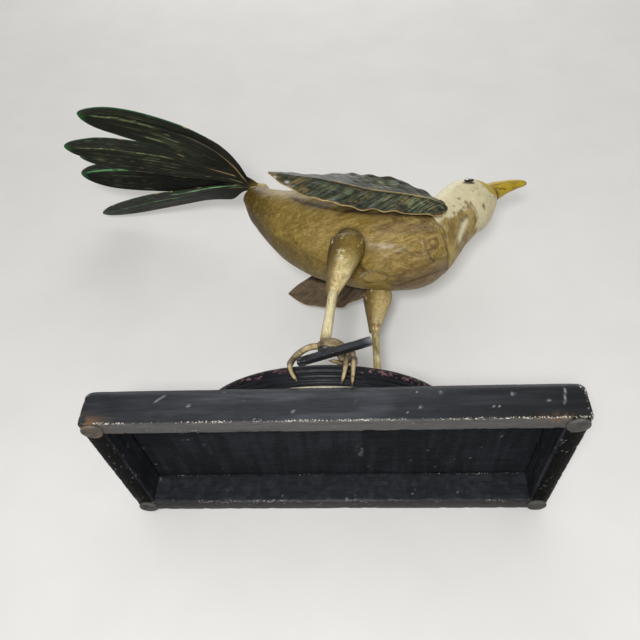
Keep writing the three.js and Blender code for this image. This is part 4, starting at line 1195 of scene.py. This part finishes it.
def rod_rings(centre, radius, fore, out, sides):
    cos, sin = (row[..., None] for row in circle(sides))
    radius = radius[:, None, None]
    return centre[:, None, :] + radius * cos * fore[:, None, :] + radius * sin * out[:, None, :]


def oval_rod(points, radii, rows, sides, depth):
    """A bar whose rings all face sideways, with its depth across the bird."""
    shares = np.linspace(0, 1, rows)
    centre, heading = along_curve(points, rows, even=False)
    radius = cubic_course(np.linspace(0, 1, len(radii)), radii, shares)
    fore = unit(np.cross(SIDEWAYS, heading))
    out = unit(np.cross(heading, fore)) * depth
    return rod_rings(centre, radius, fore, out, sides), shares


def round_rod(points, radius_at, rows, sides):
    """A round bar along a curve, its rings kept from twisting."""
    centre, heading = along_curve(points, rows)
    shares = np.linspace(0, 1, rows)
    fores = [unit(np.cross(heading[0], np.array([0, 1.0, 0.01])))]
    for k in range(1, rows):
        fores.append(unit(fores[-1] - (fores[-1] @ heading[k]) * heading[k]))
    fore = np.array(fores)
    radius = np.array([radius_at(s) for s in shares])
    return rod_rings(centre, radius, fore, np.cross(heading, fore), sides), shares


def side_on_shade(normals, edge):
    """How far a surface turns side-on to that way, for painted shade on rounded edges."""
    return edge - np.abs(normals @ EDGE_SHADE_WAY)


def add_thigh(side):
    right = side == "right"
    rings, shares = oval_rod(thigh_line(side), THIGH_RADII[side], 150, 96, THIGH_DEPTH)
    depth = 0.5 * rough(rings, (14, 14, 26), 151) - 0.35 * np.abs(noise(rings, (11, 11, 24), 153))
    depth += 0.12 * rough(rings, (3, 3, 9), 155)
    rings, normals = carved(rings, depth)
    ahead = normals[..., 0]
    rise = rings[..., 2] - HIP[side][2]
    down = ease(-rise, 14, 52)
    fine = rough(rings, (4, 4, 10), 159)
    coat = Coat(rings, np.array(OCHRE) * (0.98 if right else 1.55))
    if not right:
        coat.over(0.55, THIGH_KHAKI)
    cloud = rough(rings, (12, 12, 18), 157)
    coat.either_way(cloud, (0.0, 0.7, 0.5, OCHRE_PALE), (0.1, 0.7, 0.5, OLIVE))
    coat.over(down * (0.75 + 0.35 * fine) * (1.0 if right else 0.75), THIGH_PALE)
    coat.over(ease(fine, 0.3, 0.7) * down * 0.6, OCHRE_DEEP)
    coat.over(ease(-ahead, -0.10, 0.50) * 0.85, OCHRE_DEEP)
    coat.over(ease(-ahead, 0.55, 0.95) * 0.6, UMBER)
    coat.over(ease(ahead, 0.80, 0.98) * 0.45, OCHRE_DEEP)
    coat.over(ease(rise, 4.0, 13.0) * 0.30, UMBER)
    if right:
        coat.less(1 - down, (0.38, 0.40, 0.58))
    # Painted highlights: pale specks over the thigh's upper part
    highlight_specks = ease(rough(rings, (3.2, 3.0, 7.0), 160), 0.42, 0.62) * bell(rise + 6, 11.0)
    coat.over(highlight_specks * 0.8, CREAM)
    if right:
        glints = bell(rise + 27, 8.0) * bell(rings[..., 0] - HIP[side][0] + 5, 5.0)
        glints = glints * ease(rough(rings, (2.6, 2.4, 4.0), 162), 0.05, 0.30)
        coat.over(glints * 0.75, THIGH_GLINT)
    streaks = ease(rough(rings, (2.2, 2.2, 16), 164), 0.30, 0.62) * down
    coat.over(streaks * 0.6, THIGH_STREAK)
    ring = bell(shares[:, None] - 0.94, 0.018) * ease(fine, -0.4, 0.3)
    coat.over(ring * 0.7, THIGH_RING)
    if not right:
        # Painted highlight and painted shade along a groove down the far thigh, which the shape doesn't
        # cut
        painted_groove = [
            KNEE[side] + (-1.5, -7.0, -6),
            KNEE[side] * 0.6 + HIP[side] * 0.4 + (-2.5, -13.0, 0),
            HIP[side] + (-3.0, -16.0, -8.0),
        ]
        coat.over(stroke(rings, painted_groove, 1.1) * 0.8, CREAM)
        coat.over(stroke(rings + (1.8, 0, 0), painted_groove, 0.9) * 0.5, OCHRE_DEEP)
    piece(f"{side}_thigh_carved", rings, coat, varnished_wood, f"{side}_thigh")


def add_shank(side):
    low = ANKLE[side]
    high = KNEE[side] + 12 * unit(HIP[side] - KNEE[side])
    radius = SHANK_RADIUS[side]
    rings, shares = round_rod([low, low * 0.5 + high * 0.5, high],
                              lambda s: radius * (1 + 0.04 * math.sin(9 * s)), 130, 56)
    depth = 0.28 * rough(rings, (7, 7, 22), 161) + 0.08 * rough(rings, (2, 2, 8), 163)
    rings, normals = carved(rings, depth)
    seed = 165 if side == "right" else 175
    cloud = rough(rings, (9, 9, 22), seed)
    fine = rough(rings, (3.5, 3.5, 11), seed + 3)
    coat = Coat(rings, np.array(CREAM) * np.array([1.08, 1.07, 1.02]))
    coat.over(ease(cloud, -0.1, 0.7) * 0.6, CREAM_WORN)
    coat.over(ease(fine + 0.4 * cloud, 0.2, 0.8) * 0.65, OCHRE_DEEP)
    coat.over(ease(rough(rings, (2.0, 2.0, 18), seed + 6), 0.28, 0.60) * 0.55, LEG_STREAK)
    if side == "left":
        coat.over(0.7 * ease(rough(rings, (8, 8, 14), 177), -0.7, 0.4), OCHRE)
    coat.over(fall(per_ring(shares, rings), 0.0, 0.10) * 0.5, OCHRE_DEEP)
    # Painted shade on the shank's rounded edges
    rim = ease(side_on_shade(normals, 0.70), 0.0, 0.45)
    coat.over(rim * (0.45 + 0.3 * rough(rings, (5, 5, 12), 167)), OCHRE_DEEP)
    piece(f"{side}_shank_carved", rings, coat, bone_legs, f"{side}_shank")


def hold(x, behind_edge, above_top):
    return np.array([x, platform_edge(x) + behind_edge, PLATFORM_TOP + above_top])


RIGHT_TOES = {
    "hind_toe": [
        (-8, 13.5, 29), (-17.9, 12, 27.4), (-24.7, 10, 22.8), (-30.8, 7, 15.4), (-34.4, 2.8, 6.7),
        (-34.8, -4.3, -3.4), (-32.2, -5.7, -12.7), (-26.8, -7, -22.4),
    ],
    "inner_toe": [
        (0, 16.5, 31), (8, 22, 25), (12.5, 22, 16), (11, 15.5, 9.8), (6.5, 8, 7.2), (-0.7, 3.6, 5.6),
    ],
    "middle_toe": [
        (6.5, 14, 32), (12.8, 15.2, 28.5), (15.8, 14.2, 18.5), (15.7, 9.2, 9.2), (15.6, 3, 7.3),
        (15.3, -4.2, -0.8), (14, -5.8, -12), (11.4, -7.2, -26),
    ],
    "outer_toe": [
        (12.5, 20, 33), (18.8, 19.2, 29.5), (21, 19, 20), (22, 14.8, 12.2), (22.5, 3.4, 7.8),
        (21.9, -4.2, -0.8), (21.2, -6.6, -14), (20.3, -8, -28),
    ],
}


def standing_toes():
    toes = {}
    for name, turn, reach in (
        ("inner_toe", -40, 36), ("middle_toe", 0, 42), ("outer_toe", 40, 36), ("hind_toe", 180, 27),
    ):
        way = np.array([math.cos(math.radians(turn)), math.sin(math.radians(turn)), 0])
        steps = ((10.8, 5.5), (reach * 0.45, 5.4), (reach * 0.8, 3.7), (reach, 1.7))
        toes[name] = [LEFT_FOOT + way * d + (0, 0, h) for d, h in steps]
    return toes


KNUCKLES = (0.33, 0.62)


def toe_radius(s):
    shaft = 3.1 - 0.2 * min(1, s / 0.6)
    base = shaft if s < 0.6 else 2.9 - 1.5 * (s - 0.6) / 0.4
    knuckles = 0.22 * sum(bell(s - at, 0.05) for at in KNUCKLES)
    claw = 1 - 0.75 * max(0.0, (s - 0.90) / 0.10) ** 1.5
    return (base + knuckles) * claw


def add_toes(side, toes):
    for number, (name, points) in enumerate(toes.items()):
        rings, shares = round_rod(points, toe_radius, 150, 36)
        depth = 0.20 * rough(rings, 5, 181 + number) + 0.05 * rough(rings, 1.8, 185)
        rings, normals = carved(rings, depth)
        share = per_ring(shares, rings)
        fine = rough(rings, 3.0, 187 + number)
        cloud = rough(rings, 8.0, 191 + number)
        coat = Coat(rings, TOE_BONE)
        coat.over(ease(cloud, 0.0, 0.6) * 0.4, CREAM)
        coat.over(ease(-cloud + 0.4 * fine, 0.05, 0.7) * 0.75, TOE_BROWN)
        around = rings - rings.mean(axis=1, keepdims=True)
        around = np.arctan2(around[..., 0], around[..., 2])
        flat = np.stack([share * 60, 3.1 * np.cos(around), 3.1 * np.sin(around)], -1)
        coat.over(ease(rough(flat, (14, 1.5, 1.5), 195 + number), 0.15, 0.55) * 0.6, TOE_LINE)
        if side == "right" and name == "inner_toe":
            coat.over(0.55 + 0.3 * fine, TOE_SHADE)
        if side == "right" and name in ("middle_toe", "outer_toe"):
            coat.over(fall(share, 0.50, 0.66) * 0.5, TOE_SHADE)
        coat.over(sum(bell(share - at, 0.012) for at in KNUCKLES) * 0.6, UMBER)
        # Painted shade on the toe's rounded edges
        coat.over(ease(side_on_shade(normals, 0.80) + 0.12 * fine, 0.0, 0.40) * 0.85, UMBER)
        coat.over(ease(share, 0.93, 0.97) * 0.85, UMBER)
        piece(f"{side}_{name}_carved", rings, coat, bone_legs, f"{side}_{name}")


def add_palm(side):
    right = side == "right"
    if right:
        steps = ((-12, -0.5, -1.5), (-4, 0, 0), (5, 1.5, 0.8), (13, 5, 1))
        points = [GRIP + step for step in steps]
        radii = [3.4, 6.7, 6.3, 3.3]
    else:
        points = [LEFT_FOOT + (0, 0, 0.3 + h) for h in (0, 5, 12, 20)]
        radii = [11.5, 12.5, 8.5, 5.2]
    rings, _ = oval_rod(points, radii, 90, 60, 1.0)
    depth = 0.45 * rough(rings, 7, 201) + 0.1 * rough(rings, 2.4, 203)
    if not right:
        depth *= ease(rings[..., 2] - PLATFORM_TOP, 0.3, 2.0)
    rings, normals = carved(rings, depth)
    if right:
        bar_top = PLATFORM_TOP + 22.6 + 0.10 * (rings[..., 0] - 3.6)
        bottom = rings[..., 2].min(axis=1, keepdims=True)
        sink = np.clip((GRIP[2] - rings[..., 2]) / np.maximum(GRIP[2] - bottom, 0.5), 0, 1)
        rings[..., 2] += sink * np.minimum(bar_top - 1.0 - bottom, 0.0)
    fine = rough(rings, 3.0, 205)
    cloud = rough(rings, 8.0, 207)
    coat = Coat(rings, PALM_BROWN)
    coat.over(ease(cloud, 0.1, 0.7) * 0.4, CREAM_WORN)
    coat.over(ease(-cloud + 0.6 * fine, -0.2, 0.6) * 0.85, PALM_DARK)
    if right:
        coat.over(ease(GRIP[2] - 3.4 - rings[..., 2] + 0.9 * fine, 0.0, 1.5), PALM_SHADE)
    # Painted shade on the palm's rounded edges
    coat.over(ease(side_on_shade(normals, 0.7), 0.0, 0.4) * 0.4, UMBER)
    piece(f"{side}_foot_carved", rings, coat, bone_legs, f"{side}_foot")


# Pieces remeshed from their CAD solids: the base's rails and panel and the perch bar

def remeshed(node, name, voxel):
    made = link_object(name, nodes[node].data.copy())
    weld = made.modifiers.new("weld", "WELD")
    weld.merge_threshold = 0.00001
    remesh = made.modifiers.new("remesh", "REMESH")
    remesh.mode = "VOXEL"
    remesh.voxel_size = voxel * MM
    remesh.adaptivity = 0.0
    made.update_tag()
    graph = bpy.context.evaluated_depsgraph_get()
    mesh = bpy.data.meshes.new_from_object(made.evaluated_get(graph))
    bpy.data.objects.remove(made)
    mesh.name = name
    for key in [a.name for a in mesh.attributes if not a.is_required and not a.is_internal]:
        mesh.attributes.remove(mesh.attributes[key])
    return mesh


def set_points(mesh, points):
    mesh.vertices.foreach_set("co", (points * MM).ravel())
    mesh.update()


def from_solid(node, voxel, material, paint, wobble=0.12):
    name = f"{node}_worn"
    mesh = remeshed(node, name, voxel)
    edges = mesh_values(mesh.edges, "vertices", 2, np.int64)
    points = neighbour_mean(mesh_values(mesh.vertices, "co", 3) / MM, edges, 2)
    soft = neighbour_mean(points, edges, 8)
    set_points(mesh, points)
    normals = mesh_values(mesh.vertex_normals, "vector", 3)
    convex = ((points - soft) * normals).sum(axis=1)
    local = points - SHIFT
    depth = wobble * rough(local, (22, 9, 9), 221) + 0.4 * wobble * rough(local, 3.5, 223)
    worn = np.clip(convex / 0.35, 0, 1.5) * ease(rough(local, (9, 6, 6), 225), 0.1, 0.7)
    set_points(mesh, points + normals * (depth - 0.35 * worn)[:, None])
    coat, edge = paint(local, normals, convex)
    show(name, mesh, coat, material, node, edge)


BASE_MARKS = [
    [(-149.6, -95.5, 20.6), (-142.8, -95.5, 26.4), (-142.0, -95.5, 27.0)],
    [(196.8, -95.5, 27.5), (195.0, -95.5, 19.0), (193.7, -95.5, 13.2)],
    [(-120.5, -95.5, 16.1), (-119.0, -95.5, 16.4)], [(76.3, -95.5, 11.6), (77.0, -95.5, 11.9)],
    [(153.0, -95.5, 23.6), (153.4, -95.5, 22.0)], [(180.8, -95.5, 16.3), (182.0, -95.5, 16.0)],
    [(94.1, -95.5, 25.7), (95.0, -95.5, 25.2)], [(-30.0, -95.5, 9.0), (-28.6, -95.5, 9.3)],
]
BASE_HALF = (BASE_LENGTH / 2, BASE_WIDTH / 2)


def base_paint(p, normals, convex):
    x, y, z = p.T
    half_length, half_width = BASE_HALF
    long_way = np.abs(y) > half_width - RAIL + 0.2
    stretch = np.where(long_way[:, None], np.array([70.0, 5, 5]), np.array([5.0, 70, 5]))
    grain = rough(p / stretch * 10.0, 10.0, 231)
    cloud = rough(p, 34, 233)
    coat = Coat(p, BLACK_PAINT)
    coat.over(ease(grain + 0.5 * cloud, -0.35, 0.8) * 0.8, GREY_PAINT)
    outside = (np.abs(y) > half_width - 0.8) | (np.abs(x) > half_length - 0.8)
    coat.over(outside * ease(cloud, -0.2, 0.8) * 0.30, BASE_OUTSIDE)
    coat.less(outside * (0.74 * ease(x, 20, 200) + 0.42 * ease(-x, 90, 180)), (1, 1, 1))
    under = ease(-normals[:, 2], 0.6, 0.95) * (z < 2.0)
    coat.over(under * 0.75, BASE_UNDER)
    at_ends = np.abs(x) > half_length - 18.0
    at_front = (y < RAIL - half_width) & ~at_ends
    coat.less(under * (0.78 * at_ends - 1.4 * at_front), (1, 1, 1))
    inside = (np.abs(y) < half_width - 3) & (np.abs(x) < half_length - 3) & (z > 2.5) & (z < 34)
    # Painted shade: darker inside the hollow box
    coat.over(inside * 0.55, BASE_INSIDE_SHADE)
    for corner, wide, reach, grit, low, dark in (
        ((4 - half_length, 2 - half_width, 0), 0.5, 9.0, rough(p, 5, 235), -0.5, 0.9),
        ((half_length - 30, 3 - half_width, 0), 0.4, 5.0, rough(p, 3, 237), -0.2, 0.8),
    ):
        stain = spot(p * np.array([wide, 1, 1.4]), np.array(corner) * np.array([wide, 1, 1.4]), reach)
        coat.over(stain * ease(grit, low, 0.4) * dark, RUST)
    for mark in BASE_MARKS:
        coat.over(stroke(p, mark, 0.55 if len(mark) > 2 else 0.8) * 0.75, BASE_SCRATCH)
    smear = distance(p, (24.5, 24.0, 32.5), (5.0, 19.0, 6.0))
    smear = fall(smear, 0.5, 1.0) * ease(rough(p, (3, 5, 3), 236), 0.0, 0.5)
    coat.over(smear * 0.5, BASE_SMEAR)
    fleck = ease(rough(p, 2.2, 241), 0.68, 0.80) * ease(rough(p, (34, 20, 9), 243), 0.0, 0.45)
    coat.over(fleck * 0.75, BASE_FLECK)
    patchy = 0.45 + 0.55 * ease(rough(p, (26, 12, 12), 239), -0.4, 0.5)
    front_low = bell(y + half_width, 3.0) * bell(z, 3.0)
    edge = np.clip(convex / 0.30, 0.0, 1.0) * (patchy + 0.35 * front_low)
    edge = edge * np.where((x > half_length - 9) & (y < 9 - half_width), 1.2, 1.0)
    return coat, edge


def perch_paint(p, normals, convex):
    cloud = rough(p, (12, 8, 8), 241)
    fine = rough(p, (6, 2, 2), 243)
    coat = Coat(p, BAR_BLACK)
    coat.over(ease(fine, -0.2, 0.7) * 0.55, GREY_PAINT)
    # Pale worn paint on the bar's ends, with painted highlights on them
    right_end = (38.5, platform_edge(5.5) - 2.1, PLATFORM_TOP + 22.5)
    coat.over(spot(p, right_end, 4.0) * ease(cloud + fine, -0.5, 0.1) * 0.9, BAR_WEAR_AND_HIGHLIGHT)
    left_end = (-30.8, platform_edge(3.6) + 20.25, PLATFORM_TOP + 15.6)
    coat.over(spot(p, left_end, 4.5) * ease(fine, -0.1, 0.2) * 0.85, BAR_LEFT_WEAR_AND_HIGHLIGHT)
    upper = ease(normals[:, 2], 0.5, 0.9) * ease(rough(p, 5, 245), 0.2, 0.6)
    coat.over(upper * 0.5, PINK_WEAR)
    return coat, np.clip(convex / 0.22, 0, 1) * 0.9


def add_base():
    for node in ("front_rail", "back_rail"):
        from_solid(node, 1.5, black_wood, base_paint)
    for node in ("left_end_rail", "right_end_rail"):
        from_solid(node, 1.5, black_ends, base_paint)
    from_solid("top_panel", 2.0, black_wood, base_paint)
    from_solid("perch_bar", 0.5, black_wood, perch_paint, 0.10)


# Glides: stuck-on discs, a little dished and frayed

GLIDE_INSET = 11.0
# Radius and height round a glide's section
GLIDE = np.array([
    (0.3, -2.75), (3, -2.8), (6, -2.9), (8.2, -3.0), (9.2, -2.8), (9.7, -2.3), (9.8, -1.5),
    (9.75, -0.8), (9.6, -0.3), (6, -0.3), (0.3, -0.3),
])


def add_glides():
    place = np.linspace(0, len(GLIDE) - 1, 46)
    radius, height = (np.interp(place, np.arange(len(GLIDE)), column)[:, None] for column in GLIDE.T)
    cos, sin = circle(96)
    disc = np.stack([radius * cos, radius * sin, height * np.ones_like(cos)], -1)
    for name, sx, sy in (
        ("front_left", -1, -1), ("front_right", 1, -1), ("back_left", -1, 1), ("back_right", 1, 1),
    ):
        rings = disc + (sx * (BASE_HALF[0] - GLIDE_INSET), sy * (BASE_HALF[1] - GLIDE_INSET), 0)
        depth = 0.10 * rough(rings, 3.5, 251) + 0.05 * rough(rings, 1.4, 253)
        rings, _ = carved(rings, depth * (rings[..., 2] < -0.5))
        cloud = rough(rings, 5, 255)
        coat = Coat(rings, FELT)
        coat.over(ease(cloud, -0.1, 0.7) * 0.6, FELT_DIRT)
        if sx < 0 and sy < 0:
            coat.over(0.45 * ease(-cloud, -0.3, 0.5), RUST)
        piece(f"glide_{name}_worn", rings, coat, glide_felt, f"glide_{name}")


# Platform with its reeded edge

# Height and swell of each reed, from the top down
REEDS = ((8, 2.2), (5, 1.6), (4.5, 1.6), (5.5, -0.9))
REED_INSET = 2.2
REED_STEPS = 10


def oval(half_length, half_width, z, sides=640):
    """A ring of the platform at the height z."""
    cos, sin = circle(sides)
    x = PLATFORM_X + half_length * cos[0]
    return np.stack([x, half_width * sin[0], np.full(sides, z)], -1)


def platform_rings():
    length, width = PLATFORM_HALF
    inset = REED_INSET + 1.6
    rings = [oval(share * (length - inset), share * (width - inset), PLATFORM_TOP)
             for share in np.linspace(0.02, 0.985, 46)]
    profile = [(-inset, PLATFORM_TOP), (-REED_INSET - 0.8, PLATFORM_TOP)]
    z = PLATFORM_TOP
    scale = (PLATFORM_TOP - PLATFORM_FLOOR) / sum(height for height, _ in REEDS)
    for height, swell in REEDS:
        for k in range(REED_STEPS):
            share = (k + 0.5) / REED_STEPS
            bulge = swell * math.sin(math.pi * share) ** 0.8
            profile.append((bulge - REED_INSET, z - height * scale * share))
        z -= height * scale
    profile.append((-REED_INSET, PLATFORM_FLOOR))
    rings += [oval(length + outset, width + outset, height) for outset, height in profile]
    return np.array(rings + [oval(60, 45, PLATFORM_FLOOR)])


def add_platform():
    rings = platform_rings()
    top = rings[..., 2] > PLATFORM_TOP - 0.05
    lowest = rings[..., 2] < PLATFORM_FLOOR + 0.05
    side = ~top & ~lowest
    depth = 0.14 * rough(rings, (16, 16, 30), 261) * side + 0.05 * rough(rings, 3, 263)
    depth = np.where(top, 0.06 * rough(rings, (30, 8, 8), 265), depth)
    rings, normals = carved(rings, np.where(lowest, 0.0, depth))
    x, y, z = rings[..., 0], rings[..., 1], rings[..., 2]
    cloud = rough(rings, (20, 20, 8), 267)
    fine = rough(rings, (6, 6, 2.5), 269)
    grit = rough(rings, (2.6, 2.6, 1.3), 268)
    coat = Coat(rings, REED_BLACK)
    coat.over(ease(cloud, -0.2, 0.9) * (0.10 + 0.44 * top), GREY_PAINT)
    band = ease(z, PLATFORM_TOP - 8.5, PLATFORM_TOP - 6.5) * (1 - top)
    worn = bell(x + 63, 20) + bell(x - 80, 26) + 0.8 * bell(x - 36, 14)
    wear = ease(grit + 0.35 * fine, 0.16, 0.42) * np.clip(worn + 0.25 * ease(cloud, 0.0, 0.6), 0, 1)
    coat.over(band * wear * 0.9, PINK_WEAR)
    # Painted highlights along the crests of the reeds
    crest_highlight = ease(1 - np.abs(normals[..., 2]), 0.94, 1.0) * side * (1 - band)
    coat.over(crest_highlight * (0.38 + 0.3 * cloud), REED_HIGHLIGHT)
    frayed = x + 8 * fine
    foot = fall(z, PLATFORM_FLOOR + 1.4, PLATFORM_FLOOR + 2.2) * ease(-y, 40, 60)
    foot = foot * ease(frayed, -52, -44) * fall(frayed, 40, 48)
    coat.over(foot * 0.9, BARE_FOOT)
    coat.over(top * ease(rough(rings, (60, 3.5, 10), 271), -0.2, 0.8) * 0.5, TOP_GRAIN)
    edge = band * (0.6 * np.clip(worn, 0, 1) + 0.15)
    piece("reeded_platform", rings, coat, black_reeds, "platform", edge)


# Camera, light and stage

CAMERA_PLACE = np.array([31.8, -543.5, -248.8])
CAMERA_AHEAD = Vector((-0.0711, 0.7818, 0.6194))
CAMERA_RIGHT = Vector((0.99714, 0.07167, 0.02400))
SENSOR = 36.0
LENS = 34.563


def add_camera():
    data = bpy.data.cameras.new("photo_camera")
    data.sensor_width = SENSOR
    data.lens = LENS
    camera = link_object("photo_camera", data)
    ahead = CAMERA_AHEAD.normalized()
    up = CAMERA_RIGHT.normalized().cross(ahead).normalized()
    right = ahead.cross(up).normalized()
    turn = Matrix((right, up, -ahead)).transposed().to_4x4()
    camera.matrix_world = Matrix.Translation(Vector((CAMERA_PLACE + SHIFT) * MM)) @ turn
    bpy.context.scene.camera = camera


def area_light(name, place, target, size, watts):
    data = bpy.data.lights.new(name, "AREA")
    data.shape = "DISK"
    data.size = size
    data.energy = watts
    lamp = link_object(name, data)
    lamp.location = place
    way = Vector(target) - Vector(place)
    lamp.rotation_euler = way.to_track_quat("-Z", "Y").to_euler()


def mixed_shader(tree, kind, factor, first, second):
    """Ends a tree in a mix of two shaders."""
    output = make(tree, kind)
    mixed = make(tree, "ShaderNodeMixShader")
    fill_all(tree, mixed, {0: factor, 1: first.outputs[0], 2: second.outputs[0]})
    tree.links.new(mixed.outputs[0], output.inputs["Surface"])


def stage_material(name, colour, seen):
    """A pale matt surface that isn't there from behind."""
    material, tree, position = new_material(name)
    matt = make(tree, "ShaderNodeBsdfDiffuse")
    share = map_range(tree, noise_node(tree, position, 90.0, 2.0), 0.3, 0.7, 0.0, 1.0)
    tree.links.new(mix_colour(tree, share, colour, seen), matt.inputs["Color"])
    back = make(tree, "ShaderNodeNewGeometry").outputs["Backfacing"]
    path = make(tree, "ShaderNodeLightPath").outputs
    passes = maths(tree, "MAXIMUM", path["Is Shadow Ray"], path["Is Diffuse Ray"])
    hidden = maths(tree, "MAXIMUM", back, passes)
    clear = make(tree, "ShaderNodeBsdfTransparent")
    mixed_shader(tree, "ShaderNodeOutputMaterial", hidden, matt, clear)
    return material


def stage_plane(name, corners, material):
    mesh = bpy.data.meshes.new(name)
    mesh.from_pydata(corners, [], [(0, 1, 2, 3)])
    mesh.materials.append(material)
    link_object(name, mesh)


def background(tree, colour, strength):
    made = make(tree, "ShaderNodeBackground")
    fill_all(tree, made, {"Color": colour, "Strength": strength})
    return made


def add_stage():
    pale = stage_material("pale_stage", (0.755, 0.75, 0.735), (0.785, 0.78, 0.765))
    stage_plane("floor", [(-4, -4, 0), (4, -4, 0), (4, 4, 0), (-4, 4, 0)], pale)
    table_y = float(cad_box[1][1]) + 0.002
    stage_plane("table", [(-3, table_y, -3), (3, table_y, -3), (3, table_y, 3), (-3, table_y, 3)], pale)
    middle = (cad_box[0] + cad_box[1]) / 2
    area_light("key", middle + Vector((0.03, -0.78, -0.62)), middle, 0.16, 6.4)
    area_light("top", (0.5, -1.1, 1.5), middle, 3.0, 4.0)
    area_light("over", (0.0, -0.1, 2.1), middle, 1.4, 15.0)
    world = bpy.data.worlds.new("studio")
    bpy.context.scene.world = world
    world.use_nodes = True
    tree = world.node_tree
    tree.nodes.clear()
    path = make(tree, "ShaderNodeLightPath").outputs
    shown = maths(tree, "MAXIMUM", path["Is Camera Ray"], path["Is Glossy Ray"])
    shown = maths(tree, "MAXIMUM", shown, path["Is Transmission Ray"])
    soft = background(tree, (1.0, 0.985, 0.955), 0.53)
    seen = background(tree, (0.72, 0.72, 0.71), 1.0)
    mixed_shader(tree, "ShaderNodeOutputWorld", shown, soft, seen)


add_trunk()
add_beak()
add_eyes()
add_wings()
add_tail()
add_tail_putty()
for leg in SIDES:
    add_thigh(leg)
    add_shank(leg)
    add_palm(leg)
add_toes("right", {name: [hold(*p) for p in line] for name, line in RIGHT_TOES.items()})
add_toes("left", standing_toes())
add_base()
add_glides()
add_platform()

for name, node_object in nodes.items():
    if not node_object.hide_render:
        if "dowel" in name:
            finish = dowel_wood
        elif "wing_nail" in name or "tail_nail" in name:
            finish = nail_green
        else:
            finish = pin_steel
        node_object.data.materials.clear()
        node_object.data.materials.append(finish)

add_camera()
add_stage()
bpy.context.scene.view_settings.view_transform = "Standard"
